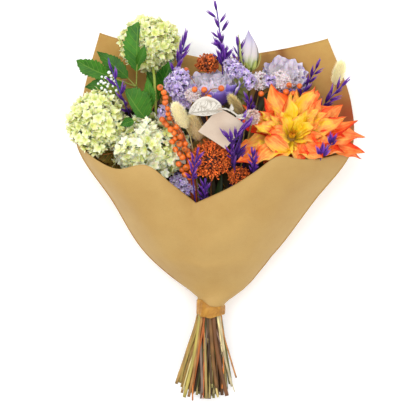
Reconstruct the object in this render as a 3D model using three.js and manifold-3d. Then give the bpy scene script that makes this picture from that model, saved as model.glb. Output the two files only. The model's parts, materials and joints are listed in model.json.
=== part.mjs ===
// A mixed bouquet in a kraft paper sleeve, lying on the back of the sleeve as it does on a table.
// Millimetres, +Z up. +Y runs from the cut stem ends to the blooms and +X is to the right, seen from above.
// The origin is on the table, under the middle of the blooms.
import * as THREE from "three";
import { mergeVertices } from "three/addons/utils/BufferGeometryUtils.js";
import { ConvexGeometry } from "three/addons/geometries/ConvexGeometry.js";
import Module from "manifold-3d";

const wasm = await Module();
wasm.setup();

// Driving dimensions
const air = 0.35; // kept between neighbouring pieces
const paperThickness = 0.8;
const neck = { x: 4, y: -212, z: 34, halfGrip: 10 }; // middle of the binding
const slotPitch = 4.5; // stem to stem in the binding
const stemEnd = { x: -1, y: -345, z: 23, spreadX: 2.6, spreadZ: 1.15, rounding: 20 }; // the fan of cut ends
const gripRadius = 2.1; // of each stem in the binding, where all are pressed together
const twine = { inner: 17.2, outer: 18.8, turns: 2, pitch: 3 };
const sleeveNeckRadius = 19.2; // inside the paper
const band = { inner: 20.8, outer: 21.6, length: 15 };

const colours = {
  kraft_paper: "#c9a463",
  paper_band: "#c08a3c",
  binding_twine: "#b08d57",
  green_stem: "#8f9a45",
  viburnum_leaf: "#3f8a35",
  viburnum_floret: "#dfe9a8",
  white_bud: "#eef0e2",
  dahlia_petal: "#f5822a",
  lisianthus_petal: "#c9c0dc",
  statice_floret: "#a996dc",
  scabiosa_floret: "#d3c4cc",
  bunny_tail: "#e3d49a",
  orange_berry: "#e2702a",
  rust_head: "#c0501c",
  oat_purple: "#5a2a9c",
  filler_green: "#7d8a4a",
  plain_card: "#dfcdbd",
};

const vec = (p) => new THREE.Vector3(...p);

function seededRandom(seed) {
  let state = seed;
  return () => {
    state = (state * 1664525 + 1013904223) % 4294967296;
    return state / 4294967296;
  };
}

// Solids: a closed three.js geometry as a solid for joining and cutting, and back again.

function toSolid(geometry) {
  const bare = geometry.index ? geometry.toNonIndexed() : geometry.clone();
  for (const name of Object.keys(bare.attributes)) if (name !== "position") bare.deleteAttribute(name);
  const merged = mergeVertices(bare, 1e-3);
  const triVerts = new Uint32Array(merged.index.array);
  const vertProperties = merged.attributes.position.array;
  const solid = new wasm.Manifold(new wasm.Mesh({ numProp: 3, vertProperties, triVerts }));
  if (solid.volume() > 0) return solid;
  for (let i = 0; i < triVerts.length; i += 3) {
    [triVerts[i + 1], triVerts[i + 2]] = [triVerts[i + 2], triVerts[i + 1]];
  }
  return new wasm.Manifold(new wasm.Mesh({ numProp: 3, vertProperties, triVerts }));
}

function toGeometry(solid) {
  const { numProp, numVert, vertProperties, triVerts } = solid.getMesh();
  const position = new Float32Array(numVert * 3);
  for (let i = 0; i < numVert; i++) {
    position.set(vertProperties.subarray(i * numProp, i * numProp + 3), i * 3);
  }
  const geometry = new THREE.BufferGeometry();
  geometry.setAttribute("position", new THREE.BufferAttribute(position, 3));
  geometry.setIndex(new THREE.BufferAttribute(new Uint32Array(triVerts), 1));
  return geometry;
}

function meshOf(points, faces) {
  const geometry = new THREE.BufferGeometry().setFromPoints(points);
  return geometry.setIndex(faces);
}

function largestBody(solid) {
  return solid.decompose().sort((a, b) => b.volume() - a.volume())[0];
}

// Forms

// Rings of points joined one after another, with a flat fan over each end.
function skin(rings) {
  const around = rings[0].length;
  const last = (rings.length - 1) * around;
  const faces = [];
  for (let r = 0; r < rings.length - 1; r++) {
    for (let i = 0; i < around; i++) {
      const a = r * around + i;
      const b = r * around + ((i + 1) % around);
      faces.push(a, b, b + around, a, b + around, a + around);
    }
  }
  for (let i = 1; i < around - 1; i++) {
    faces.push(0, i + 1, i, last, last + i, last + i + 1);
  }
  return meshOf(rings.flat(), faces);
}

// A round stalk along points, whose radius may change from point to point.
function tube(points, radius, sides = 5) {
  let across = null;
  const rings = points.map((centre, i) => {
    const ahead = points[Math.min(i + 1, points.length - 1)];
    const behind = points[Math.max(i - 1, 0)];
    const along = ahead.clone().sub(behind).normalize();
    const upright = Math.abs(along.z) < 0.9 ? new THREE.Vector3(0, 0, 1) : new THREE.Vector3(1, 0, 0);
    const guide = across ?? upright;
    across = guide.clone().addScaledVector(along, -guide.dot(along)).normalize();
    const side = along.clone().cross(across);
    const reach = Array.isArray(radius) ? radius[i] : radius;
    return Array.from({ length: sides }, (_, k) => {
      const turn = (2 * Math.PI * k) / sides;
      return centre
        .clone()
        .addScaledVector(across, reach * Math.cos(turn))
        .addScaledVector(side, reach * Math.sin(turn));
    });
  });
  return skin(rings);
}

// An oat's husk: a slim body, widest at its waist, that forks into two points.
function forkedHusk(foot, tip, side, width) {
  const along = tip.clone().sub(foot);
  const out = along.clone().cross(side).setLength(width * 0.3);
  const across = side.clone().setLength(width / 2);
  const waist = foot.clone().addScaledVector(along, 0.42);
  const body = foot.clone().addScaledVector(along, 0.5);
  const points = [
    foot,
    waist.clone().sub(across),
    waist.clone().add(across),
    body.clone().add(out),
    body.clone().sub(out),
    tip.clone().sub(across),
    tip.clone().add(across).addScaledVector(along, 0.08),
    foot.clone().addScaledVector(along, 0.72),
  ];
  const front = [0, 2, 3, 0, 3, 1, 1, 3, 5, 3, 7, 5, 3, 6, 7, 3, 2, 6];
  const back = [0, 4, 2, 0, 1, 4, 1, 5, 4, 4, 5, 7, 4, 7, 6, 4, 6, 2];
  return meshOf(points, [...front, ...back]);
}

// A frame at a place whose z axis looks along facing and whose y axis leans to the blooms' end
// as far as it can.
function facingFrame(place, facing, turn = 0) {
  const z = vec(facing).normalize();
  const guide = Math.abs(z.y) < 0.98 ? new THREE.Vector3(0, 1, 0) : new THREE.Vector3(0, 0, -1);
  const y = guide.addScaledVector(z, -guide.dot(z)).normalize();
  const x = y.clone().cross(z);
  const frame = new THREE.Matrix4().makeBasis(x, y, z).setPosition(place);
  return frame.multiply(new THREE.Matrix4().makeRotationZ(turn));
}

// A petal or leaf along its own y axis. Each station is a mid point with an edge on both sides,
// and both faces are split alike, so that they keep the blade's thickness between them.
function blade({ start = 0, stations, tip, thickness = 0.8 }) {
  const top = [new THREE.Vector3(0, start, 0)];
  for (const { y, z, half, lift, skew = 0 } of stations) {
    top.push(new THREE.Vector3(-half, y, z + lift + skew));
    top.push(new THREE.Vector3(0, y, z));
    top.push(new THREE.Vector3(half, y, z + lift - skew));
  }
  top.push(new THREE.Vector3(0, tip[0], tip[1]));
  const n = top.length;
  const end = n - 1;
  const left = (i) => 1 + 3 * i;
  const faces = [0, 3, 2, 0, 2, 1];
  for (let i = 0; i < stations.length - 1; i++) {
    const [l, m, r] = [left(i), left(i) + 1, left(i) + 2];
    faces.push(m, r, r + 3, m, r + 3, m + 3, m, m + 3, l + 3, m, l + 3, l);
  }
  const final = left(stations.length - 1);
  faces.push(final + 1, final + 2, end, final + 1, end, final);
  const under = [];
  for (let i = 0; i < faces.length; i += 3) under.push(faces[i] + n, faces[i + 2] + n, faces[i + 1] + n);
  const border = [0, ...stations.map((_, i) => left(i) + 2), end];
  border.push(...stations.map((_, i) => left(stations.length - 1 - i)));
  const walls = border.flatMap((a, i) => {
    const b = border[(i + 1) % border.length];
    return [b, a, a + n, b, a + n, b + n];
  });
  const bottom = top.map((p) => p.clone().setZ(p.z - thickness));
  return meshOf([...top, ...bottom], [...faces, ...under, ...walls]);
}

// Places spread evenly over a ball, from the top round to the underside.
function spread(count) {
  return Array.from({ length: count }, (_, i) => {
    const z = 1 - (2 * i + 1) / count;
    const turn = i * Math.PI * (3 - Math.sqrt(5));
    const ring = Math.sqrt(1 - z * z);
    return new THREE.Vector3(ring * Math.cos(turn), ring * Math.sin(turn), z);
  });
}

// A head raised from one skin: each direction has its own reach, and the directions are joined
// as their hull on the unit ball joins them. A flat seat faces the stem.
function raisedHead(directions, radii, seat = 0.62) {
  const seatAngle = 0.32;
  const kept = directions.filter(({ dir }) => dir.z > -Math.cos(seatAngle * 1.5));
  kept.push({ dir: new THREE.Vector3(0, 0, -1), reach: seat });
  for (let i = 0; i < 5; i++) {
    const turn = (i * 2 * Math.PI) / 5;
    const ring = Math.sin(seatAngle);
    const dir = new THREE.Vector3(ring * Math.cos(turn), ring * Math.sin(turn), -Math.cos(seatAngle));
    kept.push({ dir, reach: seat / Math.cos(seatAngle) });
  }
  const hull = new ConvexGeometry(kept.map(({ dir }) => dir.clone()));
  const position = hull.attributes.position;
  const corner = new THREE.Vector3();
  for (let i = 0; i < position.count; i++) {
    corner.fromBufferAttribute(position, i);
    const own = kept.find(({ dir }) => dir.distanceToSquared(corner) < 1e-8);
    corner.multiplyScalar(own.reach);
    position.setXYZ(i, corner.x * radii[0], corner.y * radii[1], corner.z * radii[2]);
  }
  return hull;
}

const poleUp = new THREE.Euler(Math.PI / 2, 0, 0); // turns the pole of spherical coordinates from y to z

// Five-petalled florets side by side over a ball, with a hollow between every two petals.
function floretDirections(count, seed, petalAngle, { dimple = 0.92, notch = 0.74 } = {}) {
  const random = seededRandom(seed);
  return spread(count).flatMap((dir) => {
    const pose = new THREE.Quaternion().setFromUnitVectors(new THREE.Vector3(0, 0, 1), dir);
    const first = random() * 2 * Math.PI;
    const around = Array.from({ length: 10 }, (_, k) => {
      const petal = k % 2 === 0;
      const angle = petalAngle * (petal ? 1 : 0.72);
      const turn = first + (k * Math.PI) / 5;
      const at = new THREE.Vector3().setFromSphericalCoords(1, angle, turn).applyEuler(poleUp);
      return { dir: at.applyQuaternion(pose), reach: petal ? 0.95 + 0.05 * random() : notch };
    });
    return [{ dir, reach: dimple }, ...around];
  });
}

// Small buds over a ball: every third place stands up and the others are sunk between them.
function budDirections(count, seed, sunk = 0.72) {
  const random = seededRandom(seed);
  return spread(count).map((dir, i) => {
    return { dir, reach: i % 3 ? sunk + 0.08 * random() : 0.94 + 0.06 * random() };
  });
}

// The sleeve: two kraft panels that meet along the side seams. Each seam runs from the collar below the
// binding to the outer end of the front rim, and the back panel's free edge goes on from there to its corner.

const seamRows = 4; // rows of the seam that both panels share
const seamGap = 0.45; // between the two panels along it
const leftEdge = [
  [-16, -232, 34],
  [-15.2, -203, 34],
  [-87, -139, 42],
  [-130, -70, 52],
  [-178, 8, 66],
  [-172, 78, 36],
  [-151, 165, 9],
];
const rightEdge = [
  [24, -232, 34],
  [23.2, -203, 34],
  [86, -146, 44],
  [144, -70, 62],
  [193, -3, 82],
  [197, 66, 42],
  [167, 157, 9],
];
const frontRimLeft = [
  [-178, 8, 66],
  [-150, -15, 103],
  [-120, -28, 128],
  [-82, -23, 143],
  [-48, -48, 134],
  [-16, -73, 117],
];
const frontRimRight = [
  [-16, -73, 117],
  [32, -51, 136],
  [62, -32, 147],
  [94, -11, 151],
  [120, -15, 140],
  [147, -14, 120],
  [193, -3, 82],
];
const backRimDip = 34; // how far the middle of the back panel's top edge lies below its corners

const smooth = (points) => new THREE.CatmullRomCurve3(points.map(vec), false, "centripetal");
const rimLeft = smooth(frontRimLeft);
const rimRight = smooth(frontRimRight);

// The collar's edge is straight, and the curve starts above it.
function edgeOf(points) {
  const curve = smooth(points.slice(1));
  return (row) => (row < 1 ? vec(points[0]).lerp(vec(points[1]), row) : curve.getPoint((row - 1) / 5));
}
const leftAt = edgeOf(leftEdge);
const rightAt = edgeOf(rightEdge);

// The value between listed ones, where row 0 is the first.
function between(values, row) {
  const i = Math.min(Math.floor(row), values.length - 2);
  const t = row - i;
  const ease = t * t * (3 - 2 * t);
  return values[i] * (1 - ease) + values[i + 1] * ease;
}

function backPoint(across, row) {
  const left = leftAt(row);
  const right = rightAt(row);
  const w = -Math.cos(Math.PI * across);
  const p = left.clone().lerp(right, (w + 1) / 2);
  const round = Math.sqrt(Math.max(0, 1 - w * w)); // near the binding the panel is half a tube
  const lying = 1 - THREE.MathUtils.smoothstep(Math.abs(w), 0.42, 1); // further on it lies on the table
  const roundness = between([1, 1, 0.55, 0.15, 0, 0, 0], row);
  const depth = between([sleeveNeckRadius, sleeveNeckRadius, 38, 0, 0, 0, 0], row);
  const down = Math.max(depth, p.z * THREE.MathUtils.smoothstep(row, 1.5, 2.6));
  p.z = Math.max(paperThickness, p.z - down * (roundness * round + (1 - roundness) * lying));
  p.y -= backRimDip * THREE.MathUtils.smoothstep(row, 4.5, 6) * (1 - Math.abs(w)) ** 0.8;
  return p;
}

function frontPoint(across, row) {
  const left = leftAt(row);
  const right = rightAt(row);
  const w = -Math.cos(Math.PI * across);
  const p = left.clone().lerp(right, (w + 1) / 2);
  const arch = Math.sqrt(Math.max(0, 1 - w * w));
  const height = between([sleeveNeckRadius - seamGap, sleeveNeckRadius - seamGap, 46, 62, 62], row);
  const rim = w < 0 ? rimLeft.getPointAt(w + 1) : rimRight.getPointAt(w);
  const lastLeft = vec(leftEdge[seamRows]);
  const lastRight = vec(rightEdge[seamRows]);
  const atRim = rim.sub(lastLeft.lerp(lastRight, (w + 1) / 2));
  const share = THREE.MathUtils.smoothstep(row, 1.2, seamRows);
  const lift = new THREE.Vector3(0, 0, height * arch);
  return p.add(lift.lerp(atRim, share)).add(new THREE.Vector3(0, 0, seamGap));
}

// A sheet of paper between two faces, from a function of across and row.
function sheet(pointAt, columns, rows, lastRow, side) {
  const face = [];
  for (let j = 0; j <= rows; j++) {
    for (let i = 0; i <= columns; i++) face.push(pointAt(i / columns, (lastRow * j) / rows));
  }
  const at = (i, j) => j * (columns + 1) + i;
  const other = face.map((p, index) => {
    const i = index % (columns + 1);
    const j = Math.floor(index / (columns + 1));
    const alongRow = face[at(Math.min(i + 1, columns), j)].clone().sub(face[at(Math.max(i - 1, 0), j)]);
    const upRow = face[at(i, Math.min(j + 1, rows))].clone().sub(face[at(i, Math.max(j - 1, 0))]);
    return p.clone().addScaledVector(alongRow.cross(upRow).normalize(), side * paperThickness);
  });
  const n = face.length;
  const faces = [];
  for (let j = 0; j < rows; j++) {
    for (let i = 0; i < columns; i++) {
      const [a, b, c, d] = [at(i, j), at(i + 1, j), at(i + 1, j + 1), at(i, j + 1)];
      faces.push(a, b, c, a, c, d, a + n, c + n, b + n, a + n, d + n, c + n);
    }
  }
  const border = [];
  for (let i = 0; i < columns; i++) border.push(at(i, 0));
  for (let j = 0; j < rows; j++) border.push(at(columns, j));
  for (let i = columns; i > 0; i--) border.push(at(i, rows));
  for (let j = rows; j > 0; j--) border.push(at(0, j));
  border.forEach((a, k) => {
    const b = border[(k + 1) % border.length];
    faces.push(b, a, a + n, b, a + n, b + n);
  });
  return meshOf([...face, ...other], faces);
}

// Turns of twine round the stems, as the ridges of one ring.
function twineRing() {
  const profile = [];
  for (let k = 0; k < twine.turns; k++) {
    profile.push(new THREE.Vector2(twine.outer - 0.5, k * twine.pitch));
    profile.push(new THREE.Vector2(twine.outer, (k + 0.5) * twine.pitch));
  }
  const top = twine.turns * twine.pitch;
  profile.push(new THREE.Vector2(twine.outer - 0.5, top));
  profile.push(new THREE.Vector2(twine.inner, top));
  profile.push(new THREE.Vector2(twine.inner, 0));
  profile.push(profile[0].clone());
  return new THREE.LatheGeometry(profile, 16).translate(neck.x, neck.y - top / 2, neck.z);
}

function bandRing() {
  const half = band.length / 2;
  const profile = [
    [band.inner, -half],
    [band.outer + 0.7, -half],
    [band.outer, -half + 3],
    [band.outer, half - 3],
    [band.outer + 0.7, half],
    [band.inner, half],
    [band.inner, -half],
  ];
  const points = profile.map(([r, y]) => new THREE.Vector2(r, y));
  return new THREE.LatheGeometry(points, 18).translate(neck.x, neck.y, neck.z);
}

// The plants. A bloom has a place, a facing and a reach, and its stem stops just under it.
// A spray has the line that it follows once it is clear of the binding.

const bloomPlants = {
  viburnum_top: { place: [-77, 146, 54], facing: [-0.2, 0.95, 0.25], seat: 0.62 * 38, radius: 1.9 },
  viburnum_left: { place: [-149, 37, 90], facing: [-0.7, 0.6, 0.4], seat: 0.62 * 38, radius: 1.9 },
  viburnum_low: { place: [-77, 2, 94], facing: [-0.3, 0.65, 0.7], seat: 0.62 * 40, radius: 1.9 },
  dahlia: { place: [112, 14, 97], facing: [0.12, 0.5, 0.86], seat: 9.5, radius: 1.95 },
  lisianthus_left: { place: [7, 68, 79], facing: [0, 0.82, 0.57], seat: 0, radius: 1.7 },
  lisianthus_right: { place: [103, 88, 18.5], facing: [0.12, 0.65, 0.75], seat: 0, radius: 1.7 },
  lisianthus_bud: { place: [58, 112, 70], facing: [-0.06, 0.96, 0.2], seat: 0, radius: 1.5 },
  scabiosa_back: { place: [71, 97, 76], facing: [0, 0.6, 0.8], seat: 0.62 * 10, radius: 1.2 },
  scabiosa_right: { place: [100, 99, 76], facing: [0.1, 0.6, 0.8], seat: 0.62 * 10, radius: 1.2 },
  scabiosa_left: { place: [-20, 70, 120], facing: [0, 0.5, 0.85], seat: 0.62 * 8, radius: 1.2 },
  scabiosa_front: { place: [58, 40, 147], facing: [0, 0.35, 0.92], seat: 0.62 * 8, radius: 1.2 },
};

const sprayPlants = {
  viburnum_shoot: { line: [[-72, 0, 44], [-88, 50, 72], [-97, 84, 88]], radius: 1.6 },
  white_bud_sprig: { line: [[-106, 4, 44], [-114, 46, 60], [-120, 66, 84], [-134, 87, 110]], radius: 1.1 },
  statice_left: { line: [[-34, 52, 84], [-38, 72, 98], [-38, 98, 102]], radius: 1.4 },
  statice_right: { line: [[42, 84, 72], [46, 102, 84], [50, 116, 90]], radius: 1.4 },
  statice_low: { line: [[-32, -66, 80], [-33, -52, 88], [-34, -46, 92]], radius: 1.3 },
  berries_left: {
    line: [[-22, -40, 100], [-28, -14, 112], [-34, 12, 124], [-52, 44, 130], [-64, 84, 128]],
    radius: 1.1,
  },
  berries_middle: { line: [[-2, 46, 112], [-6, 66, 122], [4, 78, 128]], radius: 1 },
  berries_right: { line: [[96, 58, 44], [107, 79, 60], [113, 89, 80]], radius: 1 },
  oat_left: {
    line: [[-94, 0, 44], [-104, 40, 70], [-112, 60, 104], [-124, 92, 122], [-133, 120, 126]],
    radius: 1,
  },
  oat_upper_left: { line: [[-48, 90, 78], [-43, 108, 84], [-35, 132, 86], [-28, 160, 86]], radius: 1 },
  oat_top: { line: [[20, 104, 62], [18, 128, 66], [16, 160, 70], [10, 202, 70]], radius: 1 },
  oat_by_bud: { line: [[38, 96, 66], [41, 118, 74], [41, 134, 78], [40, 152, 80]], radius: 0.9 },
  oat_upper_right: { line: [[122, 60, 46], [137, 91, 57], [146, 108, 66], [153, 122, 72]], radius: 1 },
  oat_right: { line: [[140, 30, 46], [157, 59, 58], [174, 78, 68], [193, 95, 75]], radius: 1 },
  oat_middle: { line: [[36, -20, 120], [30, -8, 132], [36, 20, 138], [50, 44, 140]], radius: 1 },
  oat_inner: { line: [[50, 34, 116], [56, 50, 134], [54, 60, 138], [48, 72, 142]], radius: 0.9 },
  oat_low: { line: [[-20, -44, 122], [-20, -36, 136], [-17, -20, 142], [-12, 0, 148]], radius: 0.9 },
  oat_bottom: { line: [[-2, -74, 100], [-4, -68, 108], [-4, -56, 116], [-3, -40, 122]], radius: 0.9 },
  oat_low_right: { line: [[60, -38, 132], [60, -24, 144], [59, -14, 152], [58, 0, 158]], radius: 0.9 },
  filler_sprig: { line: [[44, 54, 84], [46, 76, 96], [40, 92, 100]], radius: 1 },
};

// Each stem's place in the binding is a point of a lattice of close-packed rounds. The lowest plants take
// the bottom row, and each row is filled from left to right, so that the stems fan out without crossing.
function bindingSlots(count) {
  const slots = [];
  for (let row = -5; row <= 5; row++) {
    const shift = row % 2 ? 0.25 : -0.25;
    const z = row * slotPitch * Math.sin(Math.PI / 3);
    for (let i = -5; i <= 5; i++) slots.push([(i + shift) * slotPitch, z]);
  }
  const fromMiddle = ([x, z]) => Math.hypot(x, z) + 1e-3 * x + 1e-4 * z;
  return slots.sort((a, b) => fromMiddle(a) - fromMiddle(b)).slice(0, count);
}

// A stem from its cut end through the binding to its bloom. It leans out little by little,
// and over the first fifth of the way half as much as a straight line would.
function stemPoints([x, z], line, endShift) {
  const endY = stemEnd.y + stemEnd.rounding * (x / 15) ** 2 + endShift;
  const end = new THREE.Vector3(stemEnd.x + x * stemEnd.spreadX, endY, stemEnd.z + z * stemEnd.spreadZ);
  const below = new THREE.Vector3(neck.x + x, neck.y - neck.halfGrip, neck.z + z);
  const above = new THREE.Vector3(neck.x + x, neck.y + neck.halfGrip, neck.z + z);
  const easing = 0.2;
  const leaning = above.clone().lerp(line[0], easing / 2 / (1 - easing / 2));
  leaning.y = above.y + (line[0].y - above.y) * easing;
  return [end, below, above, leaning, ...line];
}

// Where a stem passes the planes across the bouquet, from the binding up to the blooms.
const planes = Array.from({ length: 48 }, (_, i) => neck.y + 8 * (i + 1));
function passesAt(points) {
  return planes.map((y) => {
    const i = points.findIndex((p, k) => k > 2 && p.y >= y);
    if (i < 0) return null;
    return points[i - 1].clone().lerp(points[i], (y - points[i - 1].y) / (points[i].y - points[i - 1].y));
  });
}

function crowding(passes, otherPasses, room) {
  let sum = 0;
  passes.forEach((p, i) => {
    const q = otherPasses[i];
    if (p && q) sum += Math.max(0, room - Math.hypot(p.x - q.x, p.z - q.z)) ** 2;
  });
  return sum;
}

// Rust-coloured heads and bunny tails grow on their stems as one piece.
const grownHeads = {
  rust_middle: { place: [4, -16, 112], facing: [0, 0.55, 0.83], radii: [27, 26, 22], seat: 0.5, buds: 120 },
  rust_low: { place: [42, -38, 108], facing: [0, 0.6, 0.8], radii: [14, 13, 12], seat: 0.5, buds: 60 },
  rust_top: { place: [-1, 120, 62], facing: [0, 0.7, 0.7], radii: [16, 14, 14], seat: 0.5, buds: 66 },
  bunny_tail_left: { place: [-36, 41, 138], facing: [-0.4, 0.8, 0.45], radii: [9, 9, 22], seat: 0.9 },
  bunny_tail_middle: { place: [-17, 26, 113], facing: [-0.3, 0.75, 0.6], radii: [9.5, 9.5, 23], seat: 0.9 },
  bunny_tail_right: { place: [38, 58, 108], facing: [-0.45, 0.6, 0.65], radii: [8, 8, 17], seat: 0.9 },
  bunny_tail_far: { place: [179, 104, 48], facing: [0.3, 0.94, 0.15], radii: [8, 8, 19], seat: 0.9 },
};

function stemRoutes() {
  const random = seededRandom(7);
  const plants = [];
  for (const [name, { place, facing, seat, radius }] of Object.entries(bloomPlants)) {
    const away = vec(facing).normalize();
    const end = vec(place).addScaledVector(away, -(seat + air));
    plants.push({ name, radius, line: [end.clone().addScaledVector(away, -16), end] });
  }
  for (const [name, { line, radius }] of Object.entries(sprayPlants)) {
    plants.push({ name, radius, line: line.map(vec) });
  }
  for (const [name, { place, facing, radii, seat }] of Object.entries(grownHeads)) {
    const away = vec(facing).normalize();
    const end = vec(place).addScaledVector(away, -(seat - 0.2) * radii[2]);
    plants.push({ name, radius: 1.2, line: [end.clone().addScaledVector(away, -14), end] });
  }
  const slots = bindingSlots(plants.length);
  for (const plant of plants) plant.endShift = 8 * random();

  const leanOf = ({ line }, axis) => (line[0][axis] - neck[axis]) / (line[0].y - neck.y);
  const byLean = (axis) => (a, b) => leanOf(a, axis) - leanOf(b, axis);
  const lowestFirst = [...plants].sort(byLean("z"));
  const rows = [...new Set(slots.map(([, z]) => z))].sort((a, b) => a - b);
  for (const z of rows) {
    const rowSlots = slots.filter((slot) => slot[1] === z).sort((a, b) => a[0] - b[0]);
    const row = lowestFirst.splice(0, rowSlots.length).sort(byLean("x"));
    row.forEach((plant, i) => (plant.slot = rowSlots[i]));
  }

  // Two stems change places wherever that leaves more room between all of them.
  const memo = new Map();
  const passes = (plant) => {
    const key = plant.name + plant.slot;
    if (!memo.has(key)) memo.set(key, passesAt(stemPoints(plant.slot, plant.line, 0)));
    return memo.get(key);
  };
  const around = (plant) => {
    const own = passes(plant);
    return plants.reduce((sum, other) => {
      if (other === plant) return sum;
      return sum + crowding(own, passes(other), 1.3 * (plant.radius + other.radius) + 0.6);
    }, 0);
  };
  const exchange = (a, b) => ([a.slot, b.slot] = [b.slot, a.slot]);
  for (let round = 0; round < 4; round++) {
    for (const a of plants) {
      for (const b of plants) {
        if (a === b) continue;
        const before = around(a) + around(b);
        exchange(a, b);
        if (around(a) + around(b) > before - 1e-6) exchange(a, b);
      }
    }
  }
  for (const plant of plants) plant.points = stemPoints(plant.slot, plant.line, plant.endShift);
  return new Map(plants.map((plant) => [plant.name, plant]));
}

const routes = stemRoutes();

// A plant's stem, with more room round it where something has to keep clear of it.
function stemTube({ points, radius }, extra = 0) {
  const radii = points.map((_, i) => {
    if (i === 0) return Math.max(radius, 1.5) * 1.25 + extra;
    return (i < 3 ? gripRadius : radius * (i > 4 ? 0.85 : 1)) + extra;
  });
  return toSolid(tube(points, radii, 5));
}

const stems = new Map([...routes].map(([name, route]) => [name, stemTube(route)]));
const stemRoom = new Map([...routes].map(([name, route]) => [name, stemTube(route, air)]));
const made = new Map();

function boxesMeet(a, b, margin) {
  const p = a.boundingBox();
  const q = b.boundingBox();
  return [0, 1, 2].every((k) => p.min[k] - margin < q.max[k] && q.min[k] - margin < p.max[k]);
}

function isClear(solid, ownStem, own = []) {
  const clearOf = (other) => !boxesMeet(solid, other, air) || solid.minGap(other, air) > air * 0.9;
  for (const [name, stem] of stems) if (name !== ownStem && !clearOf(stem)) return false;
  for (const [name, piece] of made) if (!own.includes(name) && !clearOf(piece.solid)) return false;
  return true;
}

// Takes the room of every other plant's stem out of a head, as the head of a flower parts round it.
function partedBy(solid, ownStem) {
  let left = solid;
  for (const [name, room] of stemRoom) {
    if (name !== ownStem && boxesMeet(left, room, 0)) left = left.subtract(room);
  }
  return left;
}

function add(name, material, solid) {
  made.set(name, { solid, material });
}

// A repeat that would touch a neighbour is grown to a smaller share of its size, or left off.
function fitted(grow, plant, own) {
  for (const share of [1, 0.88, 0.76, 0.64, 0.52]) {
    const solid = toSolid(grow(share));
    if (isClear(solid, plant, own)) return [solid];
  }
  return [];
}

// One node of a plant. Its heads part round other stems, and its repeats keep clear of all neighbours.
function addPlant(name, material, { plant, withStem = false, heads = [], repeats = [], own = [] }) {
  const body = withStem ? [stems.get(plant)] : [];
  const kept = repeats.flatMap((grow) => fitted(grow, plant, own));
  const parted = heads.map(toSolid).map((head) => partedBy(head, plant));
  add(name, material, largestBody(wasm.Manifold.union([...body, ...parted, ...kept])));
}

// Paper, twine and band
add("sleeve_back_panel", "kraft_paper", toSolid(sheet(backPoint, 16, 12, 6, -1)));
add("sleeve_front_panel", "kraft_paper", toSolid(sheet(frontPoint, 18, 8, seamRows, 1)));
add("stem_twine", "binding_twine", toSolid(twineRing()));
add("neck_band", "paper_band", toSolid(bandRing()));

// Scabiosa: small tufted heads

const scabiosas = { scabiosa_back: 13, scabiosa_right: 13, scabiosa_left: 10, scabiosa_front: 10 };
for (const [name, radius] of Object.entries(scabiosas)) {
  const { place, facing, seat } = bloomPlants[name];
  const head = raisedHead(budDirections(50, radius, 0.7), [radius, radius, seat / 0.62]);
  const placed = head.applyMatrix4(facingFrame(vec(place), facing));
  addPlant(name + "_head", "scabiosa_floret", { plant: name, heads: [placed] });
}

// Viburnum snowballs

const snowballs = {
  viburnum_top: { radius: 38, florets: 31, seed: 3 },
  viburnum_left: { radius: 38, florets: 31, seed: 5 },
  viburnum_low: { radius: 40, florets: 33, seed: 9 },
};

for (const [name, { radius, florets, seed }] of Object.entries(snowballs)) {
  const { place, facing } = bloomPlants[name];
  const directions = floretDirections(florets, seed, 1.72 / Math.sqrt(florets));
  const pose = facingFrame(vec(place), facing, seed);
  const head = raisedHead(directions, [radius, radius, radius]).applyMatrix4(pose);
  addPlant(name + "_head", "viburnum_floret", { plant: name, heads: [head] });
}

// A dahlia: layers of pointed petals round a small heart, longest to the right and shortest below

const dahliaLayers = [
  { count: 11, length: 92, width: 29, rise: 8, start: 0.11 },
  { count: 8, length: 78, width: 26, rise: 27, start: 0.3 },
  { count: 6, length: 56, width: 19, rise: 47, start: 0.1 },
  { count: 4, length: 33, width: 10, rise: 68, start: 0.5 },
];
const dahliaHeart = 11;
const dahliaFrame = facingFrame(vec(bloomPlants.dahlia.place), bloomPlants.dahlia.facing);

function dahliaPetal({ length, width, rise }, turn, k, share) {
  const size = share * (1 + 0.11 * Math.cos(turn)) * (1 - 0.36 * Math.max(0, -Math.sin(turn)));
  const reach = length * size;
  const half = (width * size) / 2;
  const curl = (k % 3) - 1;
  const petal = blade({
    start: 7,
    stations: [
      { y: reach * 0.4, z: 2, half: half * 0.66, lift: 3 },
      { y: reach * 0.7, z: 3, half, lift: 2, skew: curl },
    ],
    tip: [reach, 2 + 3 * curl],
    thickness: 1.2,
  });
  return petal
    .rotateX(THREE.MathUtils.degToRad(rise))
    .rotateZ(turn - Math.PI / 2)
    .applyMatrix4(dahliaFrame);
}

const dahliaPetals = dahliaLayers.flatMap((layer) =>
  Array.from({ length: layer.count }, (_, k) => {
    const turn = layer.start + (k * 2 * Math.PI) / layer.count;
    return (share) => dahliaPetal(layer, turn, k, share);
  }),
);
const dahliaCore = new THREE.IcosahedronGeometry(dahliaHeart, 0).applyMatrix4(dahliaFrame);
addPlant("dahlia_bloom", "dahlia_petal", { plant: "dahlia", heads: [dahliaCore], repeats: dahliaPetals });

// Lisianthus: ruffled cups one inside another. Round each rim the petals overlap like tiles.

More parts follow.
